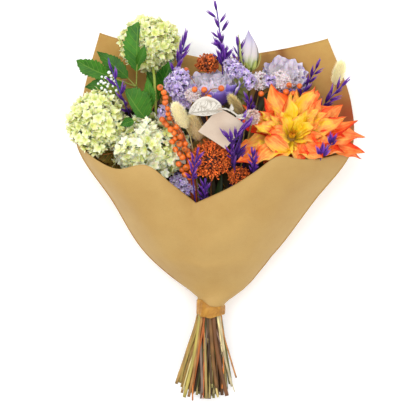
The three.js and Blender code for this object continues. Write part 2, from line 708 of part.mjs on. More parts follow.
function ruffledCup({ petals, perPetal, foot, rim, height, floor, seed }) {
  const random = seededRandom(seed);
  const around = petals * perPetal;
  const flutter = Array.from({ length: around }, () => random() - 0.5);
  const ring = (rise, inset) =>
    Array.from({ length: around }, (_, k) => {
      const phase = (k % perPetal) / perPetal;
      const turn = (2 * Math.PI * k) / around;
      const tile = 1 + 0.26 * (0.4 - phase) * rise;
      const reach = (foot + (rim - foot) * Math.sin((rise * Math.PI) / 2) ** 0.8) * tile - inset;
      const crest = rise < 1 ? 1 : (phase === 0 ? 0.8 : 1) + 0.16 * flutter[k];
      return new THREE.Vector3(reach * Math.cos(turn), reach * Math.sin(turn), height * rise * crest + floor);
    });
  return skin([ring(0, 0), ring(0.45, 0), ring(1, 0), ring(1, 1.2), ring(0.45, 1.6), ring(0.1, 1.6)]);
}

const lisianthusCups = [
  { petals: 5, perPetal: 4, foot: 9, rim: 31, height: 28, floor: 0, seed: 2 },
  { petals: 4, perPetal: 3, foot: 7, rim: 21, height: 27, floor: 1, seed: 4 },
  { petals: 3, perPetal: 3, foot: 4, rim: 11, height: 25, floor: 2, seed: 6 },
];

for (const name of ["lisianthus_left", "lisianthus_right"]) {
  const { place, facing } = bloomPlants[name];
  const pose = (cup) => facingFrame(vec(place), facing, cup.seed);
  const cups = lisianthusCups.map((cup) => ruffledCup(cup).applyMatrix4(pose(cup)));
  addPlant(name + "_bloom", "lisianthus_petal", { plant: name, heads: cups });
}

// A closed bud: petals rolled round each other, whose ridges turn as they rise
function rolledBud({ length, width, lobes = 3, rows = 6 }) {
  const around = lobes * 3;
  const ring = (t) =>
    Array.from({ length: around }, (_, k) => {
      const swell = 0.42 + 0.6 * Math.sin(Math.PI * Math.min(1, 0.12 + 0.9 * t)) - 0.34 * t;
      const turn = (2 * Math.PI * k) / around;
      const reach = Math.max(0.5, (width / 2) * swell * (1 + 0.16 * Math.cos(lobes * turn)));
      const rolled = turn + 1.1 * t;
      return new THREE.Vector3(reach * Math.cos(rolled), reach * Math.sin(rolled), t * length);
    });
  return skin(Array.from({ length: rows + 1 }, (_, r) => ring(r / rows)));
}

const bud = bloomPlants.lisianthus_bud;
const budPetals = rolledBud({ length: 50, width: 23 }).applyMatrix4(facingFrame(vec(bud.place), bud.facing));
addPlant("lisianthus_bud_petals", "lisianthus_petal", { plant: "lisianthus_bud", heads: [budPetals] });

// Rust-coloured heads, built of many small buds, and bunny tails, soft with fine awns

for (const [name, { place, facing, radii, seat, buds }] of Object.entries(grownHeads)) {
  const directions = buds ? budDirections(buds, buds) : budDirections(38, 5, 0.84);
  const head = raisedHead(directions, radii, seat).applyMatrix4(facingFrame(vec(place), facing));
  addPlant(name, buds ? "rust_head" : "bunny_tail", { plant: name, withStem: true, heads: [head] });
}

// Statice: clumps of small papery florets, each on its own branch of the stem.
// A clump is a place, how far it reaches to the sides and how high it stands.

const statices = {
  statice_left: [
    [-40, 68, 100, 12, 10],
    [-38, 84, 106, 12, 10],
    [-50, 90, 102, 12, 10],
    [-38, 104, 100, 12, 10],
    [-56, 50, 112, 9, 7],
  ],
  statice_right: [
    [48, 100, 88, 10, 9],
    [44, 116, 90, 9, 8],
    [60, 110, 94, 10, 8],
    [82, 108, 90, 9, 8],
  ],
  statice_low: [
    [-38, -46, 94, 10, 8],
    [-27, -52, 92, 9, 7],
  ],
};

for (const [name, clumps] of Object.entries(statices)) {
  const { points } = routes.get(name);
  const fork = points[points.length - 2];
  const heads = clumps.flatMap(([x, y, z, reach, height], k) => {
    const centre = new THREE.Vector3(x, y, z);
    const clump = raisedHead(budDirections(32, k + 3, 0.6), [reach, reach, height], 0.6);
    return [clump.applyMatrix4(facingFrame(centre, [0, 0.4, 0.9], k)), tube([fork, centre], 0.9, 3)];
  });
  addPlant(name, "statice_floret", { plant: name, withStem: true, heads });
}

// Viburnum leaves: toothed, and most of them with a lobe on both sides

function toothedLeaf({ base, tip, up, width, lobed = true }, share) {
  const along = vec(tip).sub(vec(base)).multiplyScalar(share);
  const length = along.length();
  const half = (share * width) / 2;
  const outline = lobed
    ? [[0.12, 0.62], [0.34, 1], [0.44, 0.62], [0.6, 0.66], [0.68, 0.44], [0.82, 0.34]]
    : [[0.2, 0.85], [0.42, 1], [0.48, 0.84], [0.7, 0.6], [0.76, 0.42]];
  const stations = outline.map(([t, reach]) => {
    return { y: t * length, z: 12 * t * (1 - t), half: half * reach, lift: 2.5 * reach };
  });
  const y = along.normalize();
  const z = vec(up).addScaledVector(y, -vec(up).dot(y)).normalize();
  const frame = new THREE.Matrix4().makeBasis(y.clone().cross(z), y, z).setPosition(vec(base));
  return blade({ stations, tip: [length, 0], thickness: 0.9 }).applyMatrix4(frame);
}

// A leaf's stalk, from its plant's stem a little below it.
function leafStalk(plant, { base, tip }) {
  const foot = vec(base);
  const stem = new THREE.CatmullRomCurve3(routes.get(plant).points.slice(3)).getSpacedPoints(40);
  const below = stem.filter((p) => p.y < foot.y - 8);
  const root = below.reduce((best, p) => (p.distanceTo(foot) < best.distanceTo(foot) ? p : best));
  const inLeaf = foot.clone().lerp(vec(tip), 0.08).add(new THREE.Vector3(0, 0, -0.3));
  return tube([root, foot, inLeaf], 0.9, 3);
}

const leaves = {
  viburnum_shoot: [
    { base: [-97, 92, 92], tip: [-96, 168, 100], up: [-0.35, 0, 0.94], width: 34 },
    { base: [-110, 100, 94], tip: [-176, 122, 92], up: [0, -0.2, 0.98], width: 38 },
    { base: [-108, 96, 74], tip: [-152, 134, 66], up: [0.2, 0, 0.98], width: 26, lobed: false },
    { base: [-112, 84, 84], tip: [-168, 84, 80], up: [0, 0.2, 0.98], width: 30, lobed: false },
    { base: [-90, 56, 112], tip: [-78, 106, 114], up: [-0.1, -0.1, 0.99], width: 46 },
    { base: [-102, 50, 124], tip: [-122, 34, 134], up: [0, 0, 1], width: 18, lobed: false },
  ],
  viburnum_top: [{ base: [-62, 62, 60], tip: [-50, 112, 72], up: [0, -0.3, 0.95], width: 30 }],
  viburnum_left: [
    { base: [-122, -4, 72], tip: [-154, -12, 84], up: [-0.3, -0.5, 0.8], width: 26, lobed: false },
    { base: [-112, -10, 70], tip: [-122, -34, 88], up: [0, -0.6, 0.8], width: 22, lobed: false },
  ],
};

for (const [plant, list] of Object.entries(leaves)) {
  const name = plant === "viburnum_shoot" ? plant : plant + "_stem";
  const heads = list.map((leaf) => leafStalk(plant, leaf));
  const repeats = list.map((leaf) => (share) => toothedLeaf(leaf, share));
  addPlant(name, "viburnum_leaf", { plant, withStem: true, heads, repeats });
}

// The plain stems of the other blooms. The bud's has slender sepals that stand off round its foot.
const budSepals = [0, 1, 2, 3].map((k) => {
  const frame = facingFrame(vec(bloomPlants.lisianthus_bud.place), bloomPlants.lisianthus_bud.facing);
  const stations = [
    { y: 8, z: 0, half: 2.2, lift: 0.6 },
    { y: 20, z: 1, half: 2.6, lift: 0.6 },
  ];
  return (share) =>
    blade({ start: -3, stations, tip: [34 * share, 3] })
      .rotateX(THREE.MathUtils.degToRad(52))
      .translate(0, 0, -5)
      .rotateZ(0.4 + (k * Math.PI) / 2)
      .applyMatrix4(frame);
});

for (const plant of Object.keys(bloomPlants)) {
  if (plant in leaves) continue;
  const repeats = plant === "lisianthus_bud" ? budSepals : [];
  addPlant(plant + "_stem", "green_stem", { plant, withStem: true, repeats });
}

// Berries close along their twigs, turning round them as they climb

const twigs = {
  berries_left: { berries: 16, size: 9, seed: 4 },
  berries_middle: { berries: 5, size: 9, seed: 5 },
  berries_right: { berries: 5, size: 8.5, seed: 6 },
};

for (const [name, { berries, size, seed }] of Object.entries(twigs)) {
  const random = seededRandom(seed);
  const twig = new THREE.CatmullRomCurve3(routes.get(name).points.slice(4));
  const repeats = Array.from({ length: berries }, (_, i) => {
    const root = twig.getPointAt((i + 0.5) / berries);
    const turn = i * 2.4 + random();
    const out = new THREE.Vector3(Math.cos(turn), 0.3, Math.sin(turn) + 0.4).setLength(size * 0.52);
    const place = root.add(out).toArray();
    return (share) => new THREE.IcosahedronGeometry((share * size * 1.06) / 2, 0).translate(...place);
  });
  addPlant(name, "orange_berry", { plant: name, withStem: true, repeats });
}

// Purple oats: forked husks on both sides along each spray, and one at its tip

const oats = {
  oat_left: { husks: 7, length: 24 },
  oat_upper_left: { husks: 6, length: 23 },
  oat_top: { husks: 7, length: 23 },
  oat_by_bud: { husks: 5, length: 19 },
  oat_upper_right: { husks: 5, length: 21 },
  oat_right: { husks: 7, length: 22 },
  oat_middle: { husks: 6, length: 20 },
  oat_inner: { husks: 5, length: 18 },
  oat_low: { husks: 5, length: 18 },
  oat_bottom: { husks: 5, length: 18 },
  oat_low_right: { husks: 5, length: 17 },
};

function oatHusks(name, husks, length, seed) {
  const random = seededRandom(seed);
  const spray = new THREE.CatmullRomCurve3(routes.get(name).points.slice(4));
  const lastFoot = 1 - (0.8 * length) / spray.getLength(); // the last husk ends about where the line does
  return Array.from({ length: husks }, (_, i) => {
    const t = (lastFoot * (i + 1)) / husks;
    const along = spray.getTangentAt(t);
    const side = new THREE.Vector3(0, 0, 1).cross(along).normalize();
    const out = i === husks - 1 ? 0.1 : (i % 2 ? 1 : -1) * (0.4 + 0.25 * random());
    const lean = along.clone().addScaledVector(side, out);
    lean.z += 0.5 * random() - 0.1;
    const foot = spray.getPointAt(t).addScaledVector(lean, -1);
    const reach = length * (0.85 + 0.3 * random());
    side.addScaledVector(lean.normalize(), -side.dot(lean));
    return (share) => forkedHusk(foot, foot.clone().addScaledVector(lean, share * reach), side, 5.5);
  });
}

Object.entries(oats).forEach(([name, { husks, length }], i) => {
  const repeats = oatHusks(name, husks, length, i + 11);
  addPlant(name, "oat_purple", { plant: name, withStem: true, repeats });
});

// A small umbel of white buds

function umbelRays(name, count, reach) {
  const points = routes.get(name).points;
  const [hub, top] = points.slice(-2);
  return Array.from({ length: count }, (_, i) => {
    const out = reach * Math.sqrt((i + 0.5) / count);
    const turn = i * 2.4;
    const tip = top.clone().add(new THREE.Vector3(out * Math.cos(turn), out * Math.sin(turn), 5 - 0.3 * out));
    const marks = [0, 0.8, 0.92, 1].map((t) => hub.clone().lerp(tip, t));
    return () => tube(marks, [0.6, 0.6, 2.5, 0.8], 3);
  });
}

addPlant("white_bud_sprig", "white_bud", {
  plant: "white_bud_sprig",
  withStem: true,
  repeats: umbelRays("white_bud_sprig", 10, 14),
});

// Filler foliage: small oval leaves in pairs along a sprig

function ovalLeaf(base, tip, width) {
  const length = tip.distanceTo(base);
  const y = tip.clone().sub(base).normalize();
  const up = new THREE.Vector3(0, -0.2, 1);
  const z = up.addScaledVector(y, -up.dot(y)).normalize();
  const stations = [
    { y: 0.3 * length, z: 1, half: width * 0.42, lift: 1 },
    { y: 0.62 * length, z: 1.5, half: width * 0.5, lift: 1 },
  ];
  const frame = new THREE.Matrix4().makeBasis(y.clone().cross(z), y, z).setPosition(base);
  return blade({ stations, tip: [length, 0] }).applyMatrix4(frame);
}

const fillerTwig = new THREE.CatmullRomCurve3(routes.get("filler_sprig").points.slice(4));
const fillerLeaves = Array.from({ length: 7 }, (_, i) => {
  const root = fillerTwig.getPointAt((i + 0.5) / 7);
  const out = new THREE.Vector3(i % 2 ? 13 : -13, 9, 3 + (i % 3) * 3);
  return (share) => ovalLeaf(root, root.clone().addScaledVector(out, share), 8);
});
addPlant("filler_sprig", "filler_green", { plant: "filler_sprig", withStem: true, repeats: fillerLeaves });

// Two plain paper tags that lie among the heads. Each is lowered until it rests on what is under it.

function settle(solid, step = 0.25) {
  let place = solid;
  while (place.boundingBox().min[2] > 0) {
    const lower = place.translate([0, 0, -step]);
    if (!isClear(lower)) return place;
    place = lower;
  }
  return place;
}

const card = {
  size: [48, 50, 0.9],
  place: [20, 24, 190],
  along: [0.784, -0.492, -0.31],
  across: [0.584, 0.664, 0.412],
};
const cardX = vec(card.along).normalize();
const cardZ = cardX.clone().cross(vec(card.across)).normalize();
const cardFrame = new THREE.Matrix4()
  .makeBasis(cardX, cardZ.clone().cross(cardX), cardZ)
  .setPosition(vec(card.place));
const cardPaper = new THREE.BoxGeometry(...card.size).applyMatrix4(cardFrame);
add("plain_card", "plain_card", settle(toSolid(cardPaper)));

const leafTag = { base: [38, 35, 240], tip: [-27, 50, 240] };
const leafTagStations = [
  { y: 12, z: 1, half: 3, lift: 0 },
  { y: 26, z: 3, half: 10, lift: -1 },
  { y: 44, z: 4, half: 12.5, lift: -2 },
  { y: 58, z: 2, half: 8, lift: -1 },
];
const leafTagLength = vec(leafTag.tip).distanceTo(vec(leafTag.base));
const leafTagY = vec(leafTag.tip).sub(vec(leafTag.base)).normalize();
const leafTagZ = new THREE.Vector3(0, 0, 1);
const leafTagFrame = new THREE.Matrix4()
  .makeBasis(leafTagY.clone().cross(leafTagZ), leafTagY, leafTagZ)
  .setPosition(vec(leafTag.base));
const leafTagPaper = blade({ stations: leafTagStations, tip: [leafTagLength, 0] }).applyMatrix4(leafTagFrame);
add("leaf_tag", "plain_card", settle(toSolid(leafTagPaper)));

// The scene: one named mesh for each piece
const bouquet = new THREE.Group();
for (const [name, { solid, material }] of made) {
  const finish = new THREE.MeshStandardMaterial({ color: colours[material], roughness: 0.8, metalness: 0 });
  const mesh = new THREE.Mesh(toGeometry(solid), finish);
  mesh.name = name;
  bouquet.add(mesh);
}

export default bouquet;
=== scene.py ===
# A mixed bouquet in a kraft paper sleeve, lying on its back on a pale table and seen from above.
# The tables below are in millimetres, and every mesh is in metres.
import json
import math
from types import SimpleNamespace

import bpy
import numpy as np
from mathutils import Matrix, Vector

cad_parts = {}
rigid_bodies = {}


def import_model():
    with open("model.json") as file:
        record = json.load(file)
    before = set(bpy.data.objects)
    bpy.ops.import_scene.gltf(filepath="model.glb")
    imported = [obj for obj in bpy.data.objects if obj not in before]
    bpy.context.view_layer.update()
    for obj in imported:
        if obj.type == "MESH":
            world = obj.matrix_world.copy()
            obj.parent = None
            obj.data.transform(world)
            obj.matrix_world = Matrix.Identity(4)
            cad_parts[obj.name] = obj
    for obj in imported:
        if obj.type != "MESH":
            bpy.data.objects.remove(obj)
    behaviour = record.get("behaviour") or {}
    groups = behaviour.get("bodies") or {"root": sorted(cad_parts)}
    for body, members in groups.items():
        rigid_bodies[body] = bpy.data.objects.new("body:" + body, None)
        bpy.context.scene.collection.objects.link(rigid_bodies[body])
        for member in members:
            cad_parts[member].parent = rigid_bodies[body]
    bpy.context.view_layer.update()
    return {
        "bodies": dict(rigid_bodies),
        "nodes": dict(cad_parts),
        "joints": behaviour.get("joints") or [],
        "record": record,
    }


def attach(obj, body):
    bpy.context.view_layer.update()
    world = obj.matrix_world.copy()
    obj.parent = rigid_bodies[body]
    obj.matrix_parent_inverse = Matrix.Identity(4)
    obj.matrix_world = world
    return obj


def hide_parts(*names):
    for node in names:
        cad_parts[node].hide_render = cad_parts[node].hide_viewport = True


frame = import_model()
mm = 0.001
fullTurn = 2 * math.pi
goldenTurn = math.pi * (3 - math.sqrt(5))
seeded = np.random.default_rng
counts = {}  # triangles in each new piece


# Helpers for arrays

def arr(values):
    return np.asarray(values, float)


def unit(v):  # the same directions at length one
    return v / np.maximum(np.linalg.norm(v, axis=-1, keepdims=True), 1e-12)


def smooth(x, low, high):  # rises from 0 at low to 1 at high, level at both ends
    t = np.clip((x - low) / (high - low), 0, 1)
    return t * t * (3 - 2 * t)


def between(limits, share):
    return limits[0] + (limits[1] - limits[0]) * share


def steps(count, low=0.0, high=1.0):
    return np.linspace(low, high, count)


def around(count):  # even turns of a whole circle
    return np.arange(count) * fullTurn / count


def surface(x, y, z):  # one array of points, from coordinates that fit each other
    return np.stack(np.broadcast_arrays(x, y, z), axis=-1)


def rgb(*colour):  # screen values from 0 to 255 as light
    c = arr(colour) / 255
    return np.where(c <= 0.04045, c / 12.92, ((c + 0.055) / 1.055) ** 2.4)


# Frames whose z axis looks along each direction, with a y axis that leans towards +Y
def framesAlong(directions):
    z = unit(np.atleast_2d(arr(directions)))
    lean = np.broadcast_to(arr([0, 1, 0]), z.shape).copy()
    lean[np.abs((z * lean).sum(-1)) > 0.98] = (0, 0, -1)
    y = unit(lean - z * (z * lean).sum(-1, keepdims=True))
    return np.stack([np.cross(y, z), y, z], axis=-1)


# Frames whose y axis is out, with a z axis as near to up as it goes
def framesOut(out, up):
    up = unit(up - out * (up * out).sum(-1, keepdims=True))
    return np.stack([np.cross(out, up), out, up], axis=-1).reshape(-1, 3, 3)


# Frames turned about their own z axis
def turned(frames, turn):
    c, s = np.cos(turn)[:, None], np.sin(turn)[:, None]
    x, y = frames[:, :, 0], frames[:, :, 1]
    return surface(x * c + y * s, y * c - x * s, frames[:, :, 2])


# Copies of grids (k, rows, columns, 3), each turned by its frame, scaled and moved to its place
def placed(grids, frames, places, sizes=1.0):
    grids = np.broadcast_to(grids, (len(frames),) + np.shape(grids)[-3:])
    sizes = np.broadcast_to(sizes, len(frames))[:, None, None, None]
    return np.einsum("kij,krcj->krci", frames, grids * sizes) + np.atleast_2d(arr(places))[:, None, None, :]


# Directions spread evenly over a ball by the golden turn, from its top down to the height low, and stirred
def ballDirections(rng, count, low, stir):
    z = 1 - (1 - low) * (np.arange(count) + 0.5) / count
    turn = np.arange(count) * goldenTurn
    ring = np.sqrt(1 - z * z)
    return unit(surface(ring * np.cos(turn), ring * np.sin(turn), z) + stir * rng.standard_normal((count, 3)))


# Catmull-Rom through the points with knots at the square root of their spacing, at each t from 0 to 1 or
# at a whole number of even steps
def curveAt(points, t):
    p = arr(points)
    p = np.concatenate([[2 * p[0] - p[1]], p, [2 * p[-1] - p[-2]]])
    t = np.clip(steps(t) if isinstance(t, int) else t, 0, 1) * (len(p) - 3)
    i = np.minimum(t.astype(int), len(p) - 4)
    w = (t - i)[:, None]
    a, b, c, d = p[i], p[i + 1], p[i + 2], p[i + 3]
    gap = lambda u, v: np.sqrt(np.maximum(np.linalg.norm(v - u, axis=-1, keepdims=True), 1e-6))
    k0, k1, k2 = gap(a, b), gap(b, c), gap(c, d)
    t1 = ((b - a) / k0 - (c - a) / (k0 + k1) + (c - b) / k1) * k1
    t2 = ((c - b) / k1 - (d - b) / (k1 + k2) + (d - c) / k2) * k1
    return b + t1 * w + (3 * (c - b) - 2 * t1 - t2) * w**2 + (2 * (b - c) + t1 + t2) * w**3


# The same curve at shares of its length
def curveAtLength(points, share):
    fine = curveAt(points, 40 * len(points))
    run = np.concatenate([[0], np.cumsum(np.linalg.norm(np.diff(fine, axis=0), axis=1))])
    share = (steps(share) if isinstance(share, int) else share) * run[-1]
    return surface(*(np.interp(share, run, fine[:, k]) for k in range(3)))


# Helpers for meshes. A bag gathers grids of points, and makePiece turns it into one object.

def newBag():
    return {"points": [], "quads": [], "tris": [], "quadSlots": [], "triSlots": [], "uv": [], "tint": [], "count": 0}


# Adds k grids of rows by columns, whose faces look along column x row. A wrapped grid joins its last column
# to its first, and a pole is a row that is one point.
def addGrids(bag, grids, slot=0, tint=(1, 1, 1), wrap=False, poles=(False, False), flip=False):
    k, rows, columns = grids.shape[:3]
    r = np.arange(rows - 1)[:, None]
    c = np.arange(columns if wrap else columns - 1)[None, :]
    right = (c + 1) % columns
    corner = lambda row, column: np.broadcast_to(row * columns + column, (rows - 1, c.shape[1]))
    quads = np.stack([corner(r, c), corner(r, right), corner(r + 1, right), corner(r + 1, c)], axis=-1)
    tris = [np.zeros((0, 3), int)]
    if poles[0]:
        tris.append(quads[0][:, [0, 2, 3]])
        quads = quads[1:]
    if poles[1]:
        tris.append(quads[-1][:, [0, 1, 2]])
        quads = quads[:-1]
    starts = bag["count"] + np.arange(k)[:, None, None] * rows * columns
    for kind, size, faces in (("quad", 4, quads.reshape(-1, 4)), ("tri", 3, np.concatenate(tris))):
        faces = faces[:, ::-1] if flip else faces
        bag[kind + "s"].append((faces[None] + starts).reshape(-1, size))
        bag[kind + "Slots"].append(np.full(k * len(faces), slot))
    u = np.arange(columns) / (columns if wrap else columns - 1)
    uv = np.stack(np.meshgrid(u, np.arange(rows) / (rows - 1)), axis=-1)
    tint = arr(tint)
    tint = tint[:, None, None] if tint.ndim == 2 else tint
    bag["points"].append(grids.reshape(-1, 3))
    bag["uv"].append(np.broadcast_to(uv, (k, rows, columns, 2)).reshape(-1, 2))
    bag["tint"].append(np.broadcast_to(tint, (k, rows, columns, 3)).reshape(-1, 3))
    bag["count"] += k * rows * columns


# Thin closed petals and leaves: each grid, and under it the same grid sunk by thickness between its edges.
# Two slots give the upper and the under face each its own material.
def addBlades(bag, grids, thickness=0.35, slot=0, tint=(1, 1, 1), wrap=False, poles=(True, True)):
    grids = grids if grids.ndim == 4 else grids[None]
    if wrap:
        ahead = np.concatenate([grids, grids[:, :, :1]], axis=2)
        behind = np.concatenate([grids[:, :, -1:], grids], axis=2)
        across = ahead[:, :, 1:] - behind[:, :, :-1]
    else:
        across = np.gradient(grids, axis=2)
    normal = unit(np.cross(across, np.gradient(grids, axis=1)))
    inside = np.ones(grids.shape[1:3])
    inside[[0, -1]] = 0
    if not wrap:
        inside[:, [0, -1]] = 0
    under = grids - normal * thickness * inside[None, :, :, None]
    slots = slot if isinstance(slot, tuple) else (slot, slot)
    addGrids(bag, grids, slots[0], tint, wrap, poles)
    addGrids(bag, under, slots[1], tint, wrap, poles, flip=True)


# Round stalks (k, rows, 3) with a radius at each row, closed at both ends
def addTubes(bag, paths, radii, sides=8, slot=0, tint=(1, 1, 1)):
    paths = paths if paths.ndim == 3 else paths[None]
    along = unit(np.gradient(paths, axis=1))
    middle = unit(paths[:, -1] - paths[:, 0])
    guide = np.eye(3)[np.argmin(np.abs(middle), axis=1)][:, None, :]
    across = unit(guide - along * (along * guide).sum(-1, keepdims=True))
    side = np.cross(along, across)
    turn = around(sides)[:, None]
    ring = across[:, :, None] * np.cos(turn) + side[:, :, None] * np.sin(turn)
    grids = paths[:, :, None] + ring * np.broadcast_to(radii, paths.shape[:2])[:, :, None, None]
    tint = arr(tint)
    tint = tint[:, :, None] if tint.ndim == 3 else tint
    addGrids(bag, grids, slot, tint, wrap=True)
    for end, poles in ((slice(0, 1), (True, False)), (slice(-1, None), (False, True))):
        tip = np.broadcast_to(paths[:, end, None], grids[:, end].shape)
        rows = [tip, grids[:, end]] if poles[0] else [grids[:, end], tip]
        addGrids(bag, np.concatenate(rows, axis=1), slot, tint if tint.ndim < 4 else tint[:, end], True, poles)


# Closed drops: a profile of (height, radius) turned round z, with a point at both ends
def addDrops(bag, profile, frames, places, sizes=1.0, sides=8, slot=0, tint=(1, 1, 1)):
    height, radius = arr(profile).T[:, :, None]
    turn = around(sides)
    drop = surface(radius * np.cos(turn), radius * np.sin(turn), height)
    addGrids(bag, placed(drop[None], frames, places, sizes), slot, tint, True, (True, True))


def ballProfile(rows, radius=1.0, stretch=1.0):
    angle = steps(rows, 0, math.pi)
    return np.stack([-np.cos(angle) * radius * stretch, np.sin(angle) * radius], axis=-1)


# Outlines that rise as sin(t^rise pi)^blunt
def rounded(rise, blunt):
    return lambda t: np.sin(math.pi * t**rise).clip(0) ** blunt


# Petals on a centre line that rises and bends: y and z add up the steps of an angle that grows with t,
# and each row is a channel across it, with waves that grow towards its sides and tip.
def petalGrids(length, width, rise, bend=0.0, twist=0.0, cup=0.12, wave=0.0, waves=1.6, phase=0.0,
        outline=rounded(0.7, 0.75), rows=12, columns=7, start=0.0):
    k = max(np.size(v) for v in (length, width, rise, bend, twist, cup, wave, phase))
    one = lambda v: np.broadcast_to(arr(v).reshape(-1, 1, 1), (k, 1, 1))
    t = steps(rows)[None, :, None]
    s = steps(columns, -1)[None, None, :]
    angle = one(rise) + one(bend) * t**1.4
    step = one(length) / (rows - 1)
    gather = lambda v: np.pad(np.cumsum((v[:, 1:] + v[:, :-1]) / 2, axis=1), ((0, 0), (1, 0), (0, 0)))
    y = start + gather(np.cos(angle)) * step
    z = gather(np.sin(angle)) * step
    shape = outline(t)
    half = one(width) / 2 * shape
    flutter = shape * np.sin(fullTurn * waves * t + one(phase) + 1.3 * s) * np.abs(s) ** 1.5 * smooth(t, 0.1, 0.9)
    up = half * one(cup) * 2 * s * s + one(wave) * flutter * one(width)
    turn = one(twist) * t**1.5
    x = half * s * np.cos(turn) - up * np.sin(turn)
    up = half * s * np.sin(turn) + up * np.cos(turn)
    return surface(x, y - up * np.sin(angle), z + up * np.cos(angle))


# Each petal's tint: a draw that moves its colour, its light, and a draw for its lean
def petalTints(rng, count, low, span):
    return surface(rng.random(count), low + span * rng.random(count), rng.random(count))


# One object from a bag. Points that coincide become one, so that blades and tubes are closed.
def makePiece(bag, name, faces, node=None):
    points = np.concatenate(bag["points"])
    keys = np.round(points * 1e4).astype(np.int64)
    _, first, same = np.unique(keys, axis=0, return_index=True, return_inverse=True)
    same = same.ravel()
    quads, tris = np.concatenate(bag["quads"]), np.concatenate(bag["tris"])
    corners = np.concatenate([quads.ravel(), tris.ravel()])
    mesh = bpy.data.meshes.new(name)
    mesh.vertices.add(len(first))
    mesh.vertices.foreach_set("co", (points[first] * mm).ravel())
    mesh.loops.add(len(corners))
    mesh.loops.foreach_set("vertex_index", same[corners].astype(np.int32))
    starts = np.concatenate([np.arange(len(quads)) * 4, len(quads) * 4 + np.arange(len(tris)) * 3])
    mesh.polygons.add(len(starts))
    mesh.polygons.foreach_set("loop_start", starts.astype(np.int32))
    slots = np.concatenate(bag["quadSlots"] + bag["triSlots"])
    mesh.polygons.foreach_set("material_index", slots.astype(np.int32))
    mesh.update(calc_edges=True)
    mesh.shade_smooth()
    layer = mesh.uv_layers.new(name="surface")
    layer.uv.foreach_set("vector", np.concatenate(bag["uv"])[corners].astype(np.float32).ravel())
    tint = np.concatenate(bag["tint"])[first]
    colours = mesh.color_attributes.new("tint", "FLOAT_COLOR", "POINT")
    colours.data.foreach_set("color", np.c_[tint, np.ones(len(tint))].astype(np.float32).ravel())
    for look in faces.split():
        mesh.materials.append(looks[look])
    mesh.validate()
    mesh.set_sharp_from_angle(angle=math.radians(100))  # the rims of petals and leaves
    piece = bpy.data.objects.new(name, mesh)
    bpy.context.scene.collection.objects.link(piece)
    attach(piece, "root")
    if node:
        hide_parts(node)
    counts[name] = len(quads) * 2 + len(tris)
    return piece


# Helpers for materials. A Signal is a node's output, and arithmetic on it adds the nodes that work it out.

class Signal:
    def __init__(self, socket):
        self.socket = socket

    __add__ = lambda self, other: maths("ADD", self, other)
    __sub__ = lambda self, other: maths("SUBTRACT", self, other)
    __mul__ = lambda self, other: maths("MULTIPLY", self, other)
    __abs__ = lambda self: maths("ABSOLUTE", self)


def addNode(tree, kind, inputs=None, **settings):
    made = tree.nodes.new("ShaderNode" + kind)
    for key, value in settings.items():
        setattr(made, key, value)
    for key, value in (inputs or {}).items():
        if isinstance(value, Signal):
            tree.links.new(value.socket, made.inputs[key])
        else:
            made.inputs[key].default_value = value
    return made


def derived(kind, inputs, output=0, **settings):  # a new node in the tree of the signals that it takes
    tree = next(value.socket.id_data for value in inputs.values() if isinstance(value, Signal))
    return Signal(addNode(tree, kind, inputs, **settings).outputs[output])


def maths(operation, *values):
    return derived("Math", dict(enumerate(values)), operation=operation)


def stepUp(value, low, high):
    inputs = {"Value": value, "From Min": low, "From Max": high}
    return derived("MapRange", inputs, interpolation_type="SMOOTHSTEP")


def zigzag(value):  # 1 at each whole number and 0 half-way
    return abs(maths("FRACT", value) * 2 - 1)


def ramp(factor, stops):
    made = derived("ValToRGB", {0: factor})
    elements = made.socket.node.color_ramp.elements
    while len(elements) < len(stops):
        elements.new(0.5)
    for element, (place, colour) in zip(elements, stops):
        element.position = place
        element.color = (*rgb(*colour), 1)
    return made


def blend(factor, a, b, mode="MIX"):  # a and b are signals or screen colours
    a, b = (v if isinstance(v, Signal) else (*rgb(*v), 1) for v in (a, b))
    return derived("Mix", {0: factor, 6: a, 7: b}, 2, data_type="RGBA", blend_type=mode)


def noise(place, scale, detail, roughness, distortion=0.0):
    if isinstance(scale, tuple):  # the place is drawn out along one of its axes first
        place, scale = derived("Mapping", {"Vector": place, "Scale": scale}), 1.0
    return derived("TexNoise", {"Vector": place, "Scale": scale, "Detail": detail, "Roughness": roughness,
            "Distortion": distortion})


def newMaterial(name, roughness, **sockets):
    material = bpy.data.materials.new(name)
    material.use_nodes = True
    tree = material.node_tree
    shader = tree.nodes["Principled BSDF"]
    for key, value in {"Roughness": roughness, **sockets}.items():
        shader.inputs[key.replace("_", " ")].default_value = value
    place = Signal(addNode(tree, "TexCoord").outputs["Object"])
    uv = Signal(addNode(tree, "UVMap", uv_map="surface").outputs[0])
    tint = Signal(addNode(tree, "Attribute", attribute_name="tint").outputs["Color"])
    r, g, b = map(Signal, addNode(tree, "SeparateColor", {0: tint}).outputs)
    u, v, _ = map(Signal, addNode(tree, "SeparateXYZ", {0: uv}).outputs)
    return SimpleNamespace(material=material, shader=shader, place=place, uv=uv, tint=tint, r=r, g=g, b=b, u=u, v=v)


def finishMaterial(m, colour, relief, strength, distance):
    normal = derived("Bump", {"Height": relief, "Strength": strength, "Distance": distance})
    for key, signal in (("Base Color", colour), ("Normal", normal)):
        m.material.node_tree.links.new(signal.socket, m.shader.inputs[key])
    return m.material


# Materials

